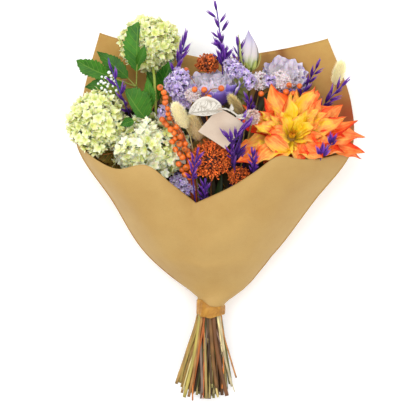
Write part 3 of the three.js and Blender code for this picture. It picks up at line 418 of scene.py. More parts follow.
def paperMaterial(name, light, dark, tinted=False):
    m = newMaterial(name, 0.6, Specular_IOR_Level=0.35)
    mottle = noise(m.place, 11.0, 4.0, 0.65)
    fibres = noise(m.place, (260, 1500, 900), 4.0, 0.7)
    flecks = noise(m.place, (900, 2600, 1500), 2.0, 0.5)
    creases = noise(m.place, (9, 26, 14), 3.0, 0.5, 0.6)
    colour = ramp(mottle, [(0.3, dark), (0.55, light), (0.75, arr(light) * 1.03)])
    colour = blend(0.6, colour, fibres * 0.22 + 0.89, "MULTIPLY")
    colour = blend(0.25, colour, ramp(flecks, [(0.30, (150, 110, 60)), (0.36, (255, 255, 255))]), "MULTIPLY")
    if tinted:
        colour = blend(1.0, colour, m.tint, "MULTIPLY")
    return finishMaterial(m, colour, fibres * 0.12 + creases, 0.5, 0.0016)


def tapeMaterial(name, stops):
    m = newMaterial(name, 0.4, Coat_Weight=0.15, Coat_Roughness=0.3, Specular_IOR_Level=0.3)
    ripples = noise(m.place, (70, 110, 60), 3.0, 0.6, 0.8)
    return finishMaterial(m, ramp(ripples, stops), ripples, 0.8, 0.0012)


# White paper with a faint grey pattern of ribs and side veins, wavy and broken up
def veinedPaper(name, light, dark, vein):
    m = newMaterial(name, 0.55, Subsurface_Weight=0.05, Subsurface_Radius=(0.002, 0.002, 0.002))
    wobble = noise(m.place, 120.0, 2.0, 0.5) * 0.3 - 0.15
    side = abs(m.u * 2 - 1) + wobble * 0.6
    climb = (side * 0.25 + m.v + wobble) * 9
    lines = maths("MAXIMUM", stepUp(zigzag(climb), 0.7, 0.95), stepUp(side, 0.14, 0.04))
    worn = stepUp(noise(m.place, 120.0, 5.0, 0.8), 0.34, 0.56)
    rim = stepUp(side, 0.9, 0.6)
    colour = blend(maths("MAXIMUM", worn, rim * -1 + 1), dark, light)
    return finishMaterial(m, blend(lines * rim * worn * 0.75, colour, vein), worn, 0.3, 0.0004)


# Colour runs along each petal, moved by the petal's own draw, with fine streaks from base to tip
def petalMaterial(name, stops, roughness=0.55, streaks=(26, 1.5, 1), streakDepth=0.16, spread=0.2, shade=0.75,
        subsurface=0.12):
    m = newMaterial(name, roughness, Subsurface_Weight=subsurface, Subsurface_Radius=(0.004, 0.002, 0.001),
            Specular_IOR_Level=0.35)
    streak = noise(m.uv, streaks, 3.0, 0.6)
    blotch = noise(m.place, 90.0, 2.0, 0.5)
    where = m.v + (m.r - 0.5) * spread + (streak - 0.5) * (2 * streakDepth) + (blotch - 0.5) * 0.16
    colour = blend(1.0, ramp(where, stops), m.g * shade + (1 - shade), "MULTIPLY")
    return finishMaterial(m, colour, streak, 0.6, 0.0004)


# Orange petals: yellow at the base and along the middle, redder towards the tip and both edges, and redder
# on one side than on the other by the petal's own draw
def dahliaMaterial(name, stops):
    m = newMaterial(name, 0.48, Subsurface_Weight=0.3, Subsurface_Radius=(0.008, 0.003, 0.001),
            Specular_IOR_Level=0.3)
    streak = noise(m.uv, (10, 1.4, 1), 4.0, 0.6)
    blotch = noise(m.place, 80.0, 3.0, 0.55)
    side = m.u * 2 - 1
    leaning = (m.u - 0.5) * (m.b * 1.5 - 0.75)
    where = m.v * 0.55 + side * side * 0.08 + m.r * 0.66 + leaning + streak * 1.2 + blotch * 0.8 - 1.28
    # depth: the painted shade that each petal's tint carries towards its base, times darker streaks
    depth = (m.g * 0.8 + 0.2) * (streak * -0.4 + 1.22)
    return finishMaterial(m, blend(1.0, ramp(where, stops), depth, "MULTIPLY"), streak, 0.9, 0.002)


# The colour is the piece's own tint, broken up by a grain
def skinMaterial(name, roughness, grain, depth, relief=0.0004, **sockets):
    m = newMaterial(name, roughness, **sockets)
    lines = noise(m.place, grain if isinstance(grain, tuple) else (grain,) * 3, 4.0, 0.65)
    colour = blend(1.0, m.tint, lines * (2 * depth) + (1 - depth), "MULTIPLY")
    return finishMaterial(m, colour, lines, 0.5, relief)


# A rib down the middle, and side veins that climb from it to the edge
def leafMaterial(name, light, dark, vein, pairs=7.0):
    m = newMaterial(name, 0.42, Subsurface_Weight=0.06, Subsurface_Radius=(0.002, 0.003, 0.001),
            Specular_IOR_Level=0.25)
    side = abs(m.u * 2 - 1)
    veins = stepUp(zigzag((side * -0.26 + m.v) * pairs), 0.80, 0.98)
    lines = maths("MAXIMUM", veins, stepUp(side, 0.09, 0.02))
    web = noise(m.place, 420.0, 3.0, 0.6)
    colour = blend(stepUp(noise(m.place, 45.0, 3.0, 0.6), 0.3, 0.7), dark, light)
    colour = blend(lines * 0.5, colour, vein)
    colour = blend(1.0, colour, web * 0.3 + 0.85, "MULTIPLY")
    colour = blend(1.0, colour, m.tint, "MULTIPLY")
    return finishMaterial(m, colour, web * 0.4 - lines, 0.7, 0.0007)


looks = {
    "kraft": paperMaterial("kraftPaper", (184, 149, 87), (177, 140, 78)),
    # the same kraft paper inside the sleeve, painted warmer and darker as the shade and reflected light inside it; its
    # tint carries more painted shade
    "kraftInside": paperMaterial("kraftPaperInsideShade", (188, 147, 76), (174, 126, 58), tinted=True),
    "card": paperMaterial("plainCardPaper", (218, 200, 180), (204, 180, 158)),
    "tag": veinedPaper("leafTagPaper", (214, 207, 195), (162, 152, 136), (108, 100, 80)),
    "tape": tapeMaterial("collarTape", [(0.3, (150, 98, 24)), (0.55, (176, 122, 38)), (0.8, (204, 152, 60))]),
    "leaf": leafMaterial("viburnumLeaf", (62, 122, 24), (32, 84, 12), (118, 158, 62)),
    "filler": leafMaterial("fillerLeaf", (150, 148, 84), (96, 100, 48), (176, 176, 116), 5.0),
    "dahlia": dahliaMaterial("dahliaPetal", [
        (0.0, (240, 200, 30)), (0.18, (255, 212, 78)), (0.36, (255, 186, 92)), (0.54, (255, 150, 74)),
        (0.72, (255, 112, 46)), (0.88, (244, 76, 24)), (1.0, (224, 46, 12))]),
    "stem": skinMaterial("stemSkin", 0.55, (300, 28, 300), 0.42, 0.0006),
    "twine": skinMaterial("twineFibres", 0.85, (200, 1500, 200), 0.35),
    "berry": skinMaterial("berrySkin", 0.32, 220, 0.12, 0.0001, Coat_Weight=0.15),
    "rust": skinMaterial("rustBristles", 0.6, 260, 0.35),
    "white": skinMaterial("whiteBud", 0.5, 300, 0.08, Subsurface_Weight=0.1),
    "bunny": skinMaterial("bunnyTailHairs", 0.8, 300, 0.05, Sheen_Weight=0.25, Subsurface_Weight=0.5,
        Subsurface_Radius=(0.003, 0.003, 0.002)),
}
petalLooks = {  # material, colours from base to tip, and what differs from a plain petal
    "floret": ("snowballPetal", [(0, (214, 222, 120)), (0.3, (238, 242, 166)), (0.6, (250, 250, 198)),
        (1, (255, 255, 226))], {"shade": 0.5, "subsurface": 0.3, "spread": 0.5}),
    "dahliaHeart": ("dahliaHeartPetal", [(0, (176, 150, 20)), (0.5, (238, 190, 24)),
        (1, (246, 160, 36))], {"spread": 0.4}),
    "lisianthus": ("lisianthusPetal", [(0, (184, 166, 170)), (0.35, (218, 202, 208)), (0.75, (246, 238, 242)),
        (1, (234, 224, 240))], {"subsurface": 0.25, "shade": 0.6}),
    "lisianthusOuter": ("lisianthusOuterPetal", [(0, (112, 92, 150)), (0.25, (110, 82, 188)), (0.78, (134, 108, 210)),
        (0.94, (168, 148, 226)), (1, (222, 210, 240))], {"subsurface": 0.15, "shade": 0.5}),
    "bud": ("budPetal", [(0, (150, 168, 80)), (0.16, (196, 200, 160)), (0.32, (216, 208, 204)),
        (0.7, (210, 202, 214)),
        (1, (164, 152, 198))], {"streaks": (14, 1, 1), "streakDepth": 0.3, "subsurface": 0.15}),
    "statice": ("staticeFloret", [(0, (250, 242, 250)), (0.3, (224, 204, 246)), (0.62, (194, 164, 234)),
        (1, (242, 230, 252))], {"spread": 0.9, "subsurface": 0.25}),
    # the scabiosa floret painted browner and more orange, for the orange light from the dahlia behind it
    "faded": ("fadedFloret", [(0, (196, 128, 98)), (0.3, (222, 178, 160)), (0.7, (236, 208, 196)),
        (1, (242, 222, 214))], {"spread": 0.4, "subsurface": 0.3, "shade": 0.6}),
    "scabiosa": ("scabiosaFloret", [(0, (214, 172, 160)), (0.3, (240, 218, 218)), (0.7, (250, 238, 240)),
        (1, (255, 248, 250))], {"spread": 0.3, "subsurface": 0.3, "shade": 0.5}),
    "oat": ("oatHusk", [(0, (52, 22, 92)), (0.35, (88, 36, 148)), (0.7, (124, 58, 182)),
        (1, (172, 116, 212))], {"streaks": (9, 1, 1), "streakDepth": 0.25, "spread": 0.5, "roughness": 0.5}),
}
for look, (name, stops, settings) in petalLooks.items():
    looks[look] = petalMaterial(name, stops, **settings)
print("materials made:", len(looks))


# The paper sleeve: two panels between a left and a right edge. Across each row the back panel is half a
# tube at the binding and lies flat further on, and the front panel is an arch that ends in a V-cut rim.

sleeve = {
    "leftEdge": [(-14.6, -227, 34), (-14.2, -203, 34), (-87, -139, 42), (-130, -70, 52), (-178, 8, 66), (-172, 78, 36),
        (-151, 165, 9)],
    "rightEdge": [(22.6, -227, 34), (22.4, -203, 34), (86, -146, 44), (144, -70, 62), (193, -3, 82), (197, 66, 42),
        (167, 157, 9)],
    "rimLeft": [(-178, 8, 66), (-150, -15, 103), (-120, -28, 128), (-82, -23, 143), (-48, -48, 134), (-16, -73, 117)],
    "rimRight": [(-16, -73, 117), (32, -51, 136), (62, -32, 147), (94, -11, 151), (120, -15, 140), (147, -14, 120),
        (193, -3, 82)],
    "neckRadius": 17.8, "seamRows": 4, "seamGap": 0.45, "backDip": 34, "paper": 0.8,
    "shown": 0.45,  # thickness
    "seamStrip": 1.6,
    "spare": ([0.6, 0.87, 1, 1.18, 1.42, 1.66, 2], [0, 7, 12, 14, 10, 5, 0]),
    "ripple": 0.5,
    "shadow": (0.42, 0.84, 0.95),  # what the light loses in the curl beside the right seam
    # painted shade of two creases near the top of the back panel, beside the bud
    "crease": (0.42, 0.6, 0.72),
}


def edgeAt(points, row):
    points = arr(points)
    straight = points[0] + (points[1] - points[0]) * np.clip(row, 0, 1)[:, None]
    curved = curveAt(points[1:], np.clip((row - 1) / 5, 0, 1))
    return np.where((row < 1)[:, None], straight, curved)


def rightEdgeAt(row):  # with the spare paper that bulges just above the collar
    return edgeAt(sleeve["rightEdge"], row) + np.interp(row, *sleeve["spare"])[:, None] * arr([1, 0, 0])


def betweenEdges(w, left, right):
    return left + (right - left) * ((w + 1) / 2)[:, None]


def eased(values, row):  # the listed value at each whole row, eased between them
    i = np.minimum(row.astype(int), len(values) - 2)
    return between((arr(values)[i], arr(values)[i + 1]), smooth(row - i, 0, 1))


def bump(x, centre, width):
    return np.exp(-(((x - centre) / width) ** 2))


def backPanel(w, row):
    p = betweenEdges(w, edgeAt(sleeve["leftEdge"], row), rightEdgeAt(row))
    tube = np.sqrt(np.maximum(0, 1 - w * w))
    lying = 1 - smooth(np.abs(w), 0.42, 1)
    share = eased([1, 1, 0.55, 0.15, 0, 0, 0], row)
    neck = sleeve["neckRadius"]
    down = np.maximum(eased([neck, neck, 38, 0, 0, 0, 0], row), p[:, 2] * smooth(row, 1.5, 2.6))
    p[:, 2] = np.maximum(sleeve["paper"], p[:, 2] - down * (share * tube + (1 - share) * lying))
    p[:, 1] -= sleeve["backDip"] * smooth(row, 4.5, 6) * (1 - np.abs(w)) ** 0.8
    return p


def frontPanel(w, row):
    p = betweenEdges(w, edgeAt(sleeve["leftEdge"], row), rightEdgeAt(row))
    neck = sleeve["neckRadius"] - sleeve["seamGap"]
    lift = eased([neck, neck, 46, 62, 62], row) * np.sqrt(np.maximum(0, 1 - w * w))
    rim = np.where((w < 0)[:, None], curveAtLength(sleeve["rimLeft"], w + 1), curveAtLength(sleeve["rimRight"], w))
    last = np.full(len(w), float(sleeve["seamRows"]))
    atRim = rim - betweenEdges(w, edgeAt(sleeve["leftEdge"], last), edgeAt(sleeve["rightEdge"], last))
    share = smooth(row, 1.2, sleeve["seamRows"])[:, None]
    return p + surface(0, 0, lift) * (1 - share) + atRim * share + (0, 0, sleeve["seamGap"])


# Low ripples in the paper: three slanted waves, faded out at the binding and along the edges
def paperRipple(p, w, row):
    x, y = p[:, 0], p[:, 1]
    waves = np.sin(x / 23 + y / 61) + 0.7 * np.sin(x / 47 - y / 19 + 1.3) + 0.5 * np.sin(x / 13 + y / 33 + 4)
    return sleeve["ripple"] * waves * smooth(row, 1.2, 2.2) * (1 - np.abs(w) ** 6)


def panelPiece(name, panel, node, lastRow, side, faces, columns=84, rows=96):
    across = -np.cos(steps(columns + 1) * math.pi)
    w, row = (v.ravel() for v in np.meshgrid(across, steps(rows + 1) * lastRow))
    p = panel(w, row)
    p[:, 2] += side * (sleeve["paper"] - sleeve["shown"]) / 2
    ripple = paperRipple(p, w, row)
    p[:, 2] += np.maximum(ripple, 0) if side < 0 else ripple
    grid = p.reshape(rows + 1, columns + 1, 3)
    # Painted shade in the paper's tint: a shadow in the curl beside the right seam, and the shade of two creases near
    # the top of the back panel
    shadow = smooth(w, 0.74, 0.95) * bump(row, 4.75, 0.5)
    crease = bump(row, 5.95, 0.26) * (0.6 * bump(w, 0.45, 0.03) + bump(w, 0.59, 0.045))
    shade = 1 - np.outer(shadow, sleeve["shadow"]) - np.outer(crease, sleeve["crease"])
    shade = shade.clip(0, 1).reshape(grid.shape)
    if side < 0:  # the back panel's glued strip stands out past both seams
        r = row.reshape(rows + 1, columns + 1)[:, :1]
        wide = sleeve["seamStrip"] * smooth(r, 1.05, 1.5) * (1 - smooth(r, 3.9, 4.5))
        out = unit(np.gradient(grid, axis=0)[..., [1, 0, 2]] * (-1, 1, 0)) * wide[..., None]
        grid = np.concatenate([grid[:, :1] + out[:, :1], grid, grid[:, -1:] - out[:, -1:]], axis=1)
        shade = np.pad(shade, ((0, 0), (1, 1), (0, 0)), mode="edge")
    bag = newBag()
    addGrids(bag, grid[None], tint=shade[None])
    piece = makePiece(bag, name, faces, node)
    solid = piece.modifiers.new("thickness", "SOLIDIFY")
    solid.material_offset = 1
    solid.thickness = sleeve["shown"] * mm
    solid.offset = 0
    counts[name] *= 2


panelPiece("sleeveBack", backPanel, "sleeve_back_panel", 6, -1, "kraftInside kraft")
panelPiece("sleeveFront", frontPanel, "sleeve_front_panel", sleeve["seamRows"], 1, "kraft kraftInside")
print("sleeve made")


# Binding: twine under the paper, and a taped collar round it

binding = {"x": 4, "y": -212, "z": 34, "twine": 16.5, "strand": 0.85, "turns": 3.5, "pitch": 1.8, "band": 18.9,
        "wall": 0.6, "ends": (-230.5, -206.0), "dip": 9, "pleats": 9}


def roundBinding(turn, radius, y):
    return surface(binding["x"] + radius * np.cos(turn), y, binding["z"] + radius * np.sin(turn))


def bindingPieces():
    b = binding
    t = steps(220)
    bag = newBag()
    path = roundBinding(t * b["turns"] * fullTurn, b["twine"], b["y"] + (t - 0.5) * b["turns"] * b["pitch"])
    addTubes(bag, path, b["strand"], 8, tint=rgb(176, 141, 87))
    makePiece(bag, "twine", "twine", "stem_twine")
    # the collar: a closed ring wall whose radius swings in pleats, more at its two rims
    v = steps(19, -1)[:, None]
    u = around(144)[None, :]
    front = smooth(np.cos(u), -0.9, 0.1)  # its upper edge dips where the panels hang over it
    pleat = 0.45 * np.sin(b["pleats"] * u + 1.1 * v) * (0.4 + 0.6 * v**2)
    pleat = pleat + 0.3 * np.sin(4 * u + 2 + v) + 0.2 * np.sin(23 * u + 3 * v)
    outer = b["band"] + b["wall"] + pleat - 0.7 * (v < 0) * v**2 * np.sin(u) ** 2
    bottom = b["ends"][0] + 4 * np.cos(u) ** 2 + 0.9 * np.sin(2 * u + 0.5) + 0.5 * np.sin(7 * u)
    y = between((bottom, b["ends"][1] - b["dip"] * front + 0.7 * np.sin(3 * u + 1)), (v + 1) / 2)
    outside, inside = roundBinding(u, outer, y), roundBinding(u, outer - b["wall"], y)
    bag = newBag()
    addGrids(bag, np.concatenate([outside, inside[::-1], outside[:1]])[None], wrap=True, flip=True)
    makePiece(bag, "collar", "tape", "neck_band")


bindingPieces()


# Stems: each follows its plant's line from the cut end to its bloom. The second entry of a line is the X
# and Z at which it runs straight through the binding.

stemLines = {
    "viburnum_top": [(-21.5, -337.6, 9.6), (-3.9, 22.3), (-11.1, -140, 24.7), (-69, 108.2, 44), (-72.2, 123.3, 48)],
    "viburnum_left": [(-39, -318.7, 23), (-10.6, 34), (-22.9, -159, 38.5), (-121.2, 13.2, 74.1),
        (-132.3, 22.7, 80.5)],
    "viburnum_low": [(-27.3, -331, 23), (-6.1, 34), (-12.6, -166.5, 37.5), (-64.7, -24.7, 65.2),
        (-69.5, -14.3, 76.4)],
    "dahlia": [(31.2, -324, 23), (16.4, 34), (26.7, -161.4, 38.5), (108.9, 1.1, 74.8), (110.8, 9.1, 88.5)],
    "lisianthus_left": [(7.8, -343.6, 23), (7.4, 34), (7.3, -150.7, 38), (7, 54.6, 69.7), (7, 67.7, 78.8)],
    "lisianthus_right": [(1.9, -338, 9.6), (5.1, 22.3), (15.8, -146.1, 20.5), (101, 77.4, 6.2), (103, 87.8, 18.2)],
    "lisianthus_bud": [(1.9, -342, 18.5), (5.1, 30.1), (11.1, -142.4, 34.2), (59, 96, 66.7), (58, 111.7, 69.9)],
    "scabiosa_back": [(13.6, -341.8, 18.5), (9.6, 30.1), (16.4, -144.9, 33.2), (71, 83.5, 58), (71, 93.1, 70.8)],
    "scabiosa_right": [(13.6, -341.6, 9.6), (9.6, 22.3), (19.4, -144.5, 26.3), (97.8, 85.5, 58), (99.3, 95.1, 70.8)],
    "scabiosa_left": [(-21.5, -331.6, 27.5), (-3.9, 37.9), (-5.7, -149.8, 45), (-20, 59.2, 101.6),
        (-20, 67.3, 115.4)],
    "scabiosa_front": [(7.8, -336.2, 32), (7.4, 41.8), (13, -155.1, 51.3), (58, 32.4, 127.1), (58, 38.1, 142)],
    "viburnum_shoot": [(-3.9, -340.6, 14), (2.9, 26.2), (-5.4, -161.6, 28.2), (-72, 0, 44), (-88, 50, 72),
        (-97, 84, 88)],
    "white_bud_sprig": [(-27.3, -332.3, 14), (-6.1, 26.2), (-17.2, -160.8, 28.2), (-106, 4, 44), (-114, 46, 60),
        (-120, 66, 84), (-134, 87, 110)],
    "statice_left": [(-3.9, -340.5, 23), (2.9, 34), (-1.2, -151.2, 39.6), (-34, 52, 84), (-38, 72, 98),
        (-38, 98, 102)],
    "statice_right": [(-9.8, -339.1, 18.5), (0.6, 30.1), (5.2, -144.8, 34.8), (42, 84, 72), (46, 102, 84),
        (50, 116, 90)],
    "statice_low": [(-33.2, -325.2, 27.5), (-8.4, 37.9), (-11, -174.8, 42.6), (-32, -66, 80), (-33, -52, 88),
        (-34, -46, 92)],
    "berries_left": [(-27.3, -329.6, 32), (-6.1, 41.8), (-7.9, -169.6, 48.3), (-22, -40, 100), (-28, -14, 112),
        (-34, 12, 124), (-52, 44, 130), (-64, 84, 128)],
    "berries_middle": [(13.6, -338.8, 27.5), (9.6, 37.9), (8.3, -152.4, 46.1), (-2, 46, 112), (-6, 66, 122),
        (4, 78, 128)],
    "berries_right": [(-9.8, -340.2, 9.6), (0.6, 22.3), (11.2, -150, 24.7), (96, 58, 44), (107, 79, 60),
        (113, 89, 80)],
    "oat_left": [(-15.6, -335.4, 14), (-1.6, 26.2), (-11.9, -161.6, 28.2), (-94, 0, 44), (-104, 40, 70),
        (-112, 60, 104), (-124, 92, 122), (-133, 120, 126)],
    "oat_upper_left": [(-15.6, -339.3, 23), (-1.6, 34), (-6.8, -143.6, 38.9), (-48, 90, 78), (-43, 108, 84),
        (-35, 132, 86), (-28, 160, 86)],
    "oat_top": [(-33.2, -327.5, 18.5), (-8.4, 30.1), (-5.2, -140.8, 33.6), (20, 104, 62), (18, 128, 66),
        (16, 160, 70), (10, 202, 70)],
    "oat_by_bud": [(-21.5, -338.8, 18.5), (-3.9, 30.1), (0.8, -142.4, 34.1), (38, 96, 66), (41, 118, 74),
        (41, 134, 78), (40, 152, 80)],
    "oat_upper_right": [(25.3, -329.9, 18.5), (14.1, 30.1), (26.1, -149.6, 31.9), (122, 60, 46), (137, 91, 57),
        (146, 108, 66), (153, 122, 72)],
    "oat_right": [(31.2, -324.7, 14), (16.4, 26.2), (30.1, -155.6, 28.4), (140, 30, 46), (157, 59, 58), (174, 78, 68),
        (193, 95, 75)],
    "oat_middle": [(1.9, -342, 36.4), (5.1, 45.7), (8.6, -165.6, 53.9), (36, -20, 120), (30, -8, 132), (36, 20, 138),
        (50, 44, 140)],
    "oat_inner": [(-3.9, -343.5, 32), (2.9, 41.8), (8.1, -154.8, 50), (50, 34, 116), (56, 50, 134), (54, 60, 138),
        (48, 72, 142)],
    "oat_low": [(-21.5, -331.6, 36.4), (-3.9, 45.7), (-5.7, -170.4, 54.2), (-20, -44, 122), (-20, -36, 136),
        (-17, -20, 142), (-12, 0, 148)],
    "oat_bottom": [(-9.8, -343, 36.4), (0.6, 45.7), (0.3, -176.4, 51.7), (-2, -74, 100), (-4, -68, 108),
        (-4, -56, 116), (-3, -40, 122)],
    "oat_low_right": [(13.6, -338.5, 36.4), (9.6, 45.7), (15.2, -169.2, 55.3), (60, -38, 132), (60, -24, 144),
        (59, -14, 152), (58, 0, 158)],
    "filler_sprig": [(19.5, -335.8, 23), (11.9, 34), (15.4, -150.8, 39.6), (44, 54, 84), (46, 76, 96), (40, 92, 100)],
    "rust_middle": [(1.9, -344, 27.5), (5.1, 37.9), (5, -167.1, 44.2), (4, -27.4, 94.8), (4, -19.6, 106.5)],
    "rust_low": [(19.5, -338.6, 32), (11.9, 41.8), (15.2, -171.3, 47.6), (42, -48.6, 93.9), (42, -40.2, 105.1)],
    "rust_top": [(7.8, -339, 14), (7.4, 26.2), (6.4, -140.2, 28.8), (-1, 107.1, 49.1), (-1, 117, 59)],
    "bunny_tail_left": [(-15.6, -336, 32), (-1.6, 41.8), (-4.1, -158.1, 51), (-24.3, 17.5, 124.8),
        (-29.8, 28.7, 131.1)],
    "bunny_tail_middle": [(-9.8, -343.3, 27.5), (0.6, 37.9), (-0.3, -160.9, 44.2), (-8, 3.6, 95.1),
        (-12.2, 14, 103.4)],
    "bunny_tail_right": [(25.3, -331, 27.5), (14.1, 37.9), (18.1, -153.1, 43.8), (49.7, 42.3, 91),
        (43.4, 50.8, 100.2)],
    "bunny_tail_far": [(19.5, -332.1, 14), (11.9, 26.2), (29.5, -145.9, 28.2), (170.8, 78.3, 43.9), (175, 91.5, 46)],
}
stemLines = {name: [end, (x, -222, z), (x, -202, z), *rest] for name, (end, (x, z), *rest) in stemLines.items()}
aboveBinding = 3  # the first point of a line that is clear of the binding
stemColours = {
    "olive": (142, 128, 58), "straw": (172, 152, 92), "brown": (92, 60, 30), "orange": (166, 90, 36),
    "mauve": (120, 98, 84), "green": (100, 98, 40), "pale": (176, 162, 118), "purple": (84, 48, 150),
    "leafGreen": (86, 122, 44), "berryTwig": (170, 96, 44), "rustTwig": (140, 86, 44),
}
stemLooks = {  # colours at the cut end and at the bloom, and radii there
    "viburnum": ("olive", "leafGreen", 2.6, 1.7), "dahlia": ("green", "green", 2.7, 2.0),
    "lisianthus": ("olive", "green", 2.0, 1.4), "scabiosa": ("pale", "olive", 1.5, 1.0),
    "white": ("green", "leafGreen", 1.8, 0.9), "statice": ("green", "olive", 1.9, 0.9),
    "berries": ("brown", "berryTwig", 2.3, 0.9), "oat": ("mauve", "purple", 1.5, 0.9),
    "filler": ("straw", "green", 1.7, 0.9), "rust": ("brown", "rustTwig", 2.5, 0.9),
    "bunny": ("straw", "straw", 1.4, 0.9),
}
oddStems = {"oat_low": "orange", "oat_low_right": "brown", "oat_middle": "straw", "oat_left": "orange",
        "oat_inner": "olive", "oat_right": "orange", "oat_top": "olive", "oat_upper_left": "straw",
        "statice_low": "olive"}


def stemBag(name, slot=0, sides=8, rows=34):  # a new bag that holds a plant's stem
    bag = newBag()
    low, high, thick, top = stemLooks[name.split("_")[0]]
    path = curveAtLength(stemLines[name], steps(rows) ** 1.15)
    radius = between((thick, top), smooth(path[:, 1], -330, -60))
    knots = seeded(len(name) * 7 + 3).random(rows) > 0.9
    colours = [rgb(*stemColours[colour]) for colour in (oddStems.get(name, low), high)]
    colour = between(colours, smooth(path[:, 1], -200, -90)[:, None])
    addTubes(bag, path, radius * (1 + 0.22 * knots), sides, slot, colour[None])
    return bag


def camelName(node, ending=""):
    first, *rest = node.split("_")
    return first + "".join(word.title() for word in rest) + ending


for name in ("viburnum_low", "dahlia", "lisianthus_left", "lisianthus_right", "scabiosa_back", "scabiosa_right",
        "scabiosa_left", "scabiosa_front"):
    bag = stemBag(name)
    makePiece(bag, camelName(name, "Stem"), "stem", name + "_stem")

# More stems fill the bunch below the binding. They end out of sight, just above it.
moreStems = {"count": 34, "seed": 21, "reach": 13, "thick": [0.9, 1.2, 1.6, 2.4], "spread": (2.4, 0.8), "rows": 16,
        "colours": ["olive", "brown", "brown", "brown", "mauve", "olive", "brown", "green"]}


def stemFill():
    rng = seeded(moreStems["seed"])
    n, rows = moreStems["count"], moreStems["rows"]
    reach = moreStems["reach"] * np.sqrt(rng.random(n))
    turn = rng.random(n) * fullTurn
    x, z = reach * np.cos(turn), reach * np.sin(turn)
    thick = rng.choice(moreStems["thick"], n)
    ends = -334 - 8 * rng.random(n) + 20 * (x / 15) ** 2
    wide, deep = moreStems["spread"]
    marks = np.stack([surface(-1 + wide * x, ends, 23 + deep * z), surface(4 + 1.6 * x, -275, 30 + 1.05 * z),
            surface(4 + x, -222, 34 + z), surface(4 + x, -190, 34 + z)], axis=1)
    bag = newBag()
    for k in range(n):
        path = curveAtLength(marks[k], rows)
        path[:, 2] = np.maximum(path[:, 2], thick[k] + 0.4)
        name = moreStems["colours"][rng.integers(len(moreStems["colours"]))]
        # random in tone, and all darker than their colour as painted shade among the stems in front
        colour = rgb(*stemColours[name]) * (0.35 + 0.5 * rng.random())
        addTubes(bag, path, thick[k] * (1 + 0.16 * (rng.random(rows) > 0.85)), 8, tint=colour)
    makePiece(bag, "moreStems", "stem")


stemFill()

# Stems that show in front, from the collar to their cut ends: colour, radius and points
frontStems = [
    ((176, 112, 56), 1.3, [(-13.2, -226, 34), (-19, -252, 39), (-31, -287, 38.5), (-41, -319, 38)]),
    ((168, 138, 70), 1.7, [(-12.8, -226, 33), (-22.6, -274, 37), (-31.6, -308, 37), (-36.5, -327, 37)]),
    ((150, 112, 62), 1.7, [(-12.4, -226, 33), (-18, -262, 37.5), (-29, -308, 37.5), (-36, -335, 37.5)]),
    ((154, 120, 60), 2.1, [(-13.5, -225.9, 31.9), (-16.5, -241, 42.1), (-28.9, -276.8, 41.2), (-43.5, -322.2, 41)]),
    ((160, 136, 66), 1.8, [(-11.7, -228.6, 42.4), (-20.6, -258.9, 41.7), (-33, -297.4, 41), (-39.1, -320.8, 41)]),
    ((168, 152, 74), 2.1, [(-11, -228.6, 42.4), (-15.8, -261.6, 41.6), (-24.8, -308.4, 41), (-32.5, -340.8, 41)]),
    ((146, 104, 54), 2, [(-8.3, -228.6, 42.4), (-13.8, -268.5, 41.4), (-22, -316.7, 41), (-26.7, -340.1, 41)]),
    ((204, 188, 130), 1.1, [(-10.3, -231.4, 42.4), (-15.1, -261.6, 41.6), (-26.1, -300.2, 41), (-34.4, -330.4, 41)]),
    ((204, 120, 48), 1, [(-10.6, -236.9, 42.2), (-12.4, -276.5, 41.2), (-18.7, -298.4, 41), (-21.5, -316.7, 41),
        (-21.2, -345.3, 41)]),
    ((122, 100, 86), 1.7, [(-9.6, -225.9, 37.5), (-9.4, -282.3, 41.1), (-8.5, -310.9, 41), (-8.3, -334.6, 41)]),
    ((178, 92, 38), 0.9, [(-6.1, -225.9, 43.7), (-5.2, -293.3, 41), (-7.2, -342.8, 41)]),
    ((166, 142, 80), 1.8, [(-4.8, -247.9, 42), (-2.8, -305.7, 41), (-2.2, -342.8, 41)]),
    ((150, 140, 84), 1.4, [(0.7, -261.6, 41.6), (5, -302.9, 41), (6.3, -327.7, 41)]),
    ((196, 174, 106), 1.4, [(-4.7, -231.4, 42.4), (3.6, -282.3, 41.1), (9.6, -316.7, 41), (14, -340.8, 41)]),
    ((84, 60, 28), 2.1, [(-0.7, -225.9, 45.5), (2.8, -275.4, 41.3), (4.8, -322.2, 41)]),
    ((112, 76, 34), 2.6, [(2.5, -225.9, 45.8), (7.7, -293.3, 41), (11.8, -327.7, 41)]),
    ((108, 66, 28), 2.7, [(6.9, -225.9, 45.5), (15.1, -293.3, 41), (26.4, -338.7, 41)]),
    ((140, 112, 100), 1.3, [(6.2, -225.9, 47.1), (12.4, -252, 41.9), (18.9, -270.9, 41.4), (23.4, -291.9, 41)]),
    ((216, 198, 142), 1.5, [(12.8, -224.5, 44.2), (16, -252, 41.9), (18.7, -269.9, 41.4), (20.5, -278.1, 41.2)]),
    ((174, 160, 126), 1.6, [(15.1, -228.6, 42.4), (22.6, -279.5, 41.2), (32.5, -325.9, 41)]),
    ((204, 192, 146), 0.7, [(17.3, -231.4, 42.4), (26.1, -296, 41), (36.9, -333.2, 41)]),
    ((206, 118, 46), 0.9, [(20.1, -268.5, 41.4), (21.7, -279.5, 41.2), (21.2, -300.2, 41), (19, -329.1, 41)]),
    ((160, 108, 56), 1.1, [(17.3, -224.5, 38.8), (21.1, -252, 41.9), (28.3, -279.5, 41.2), (39.4, -313.9, 41)]),
]


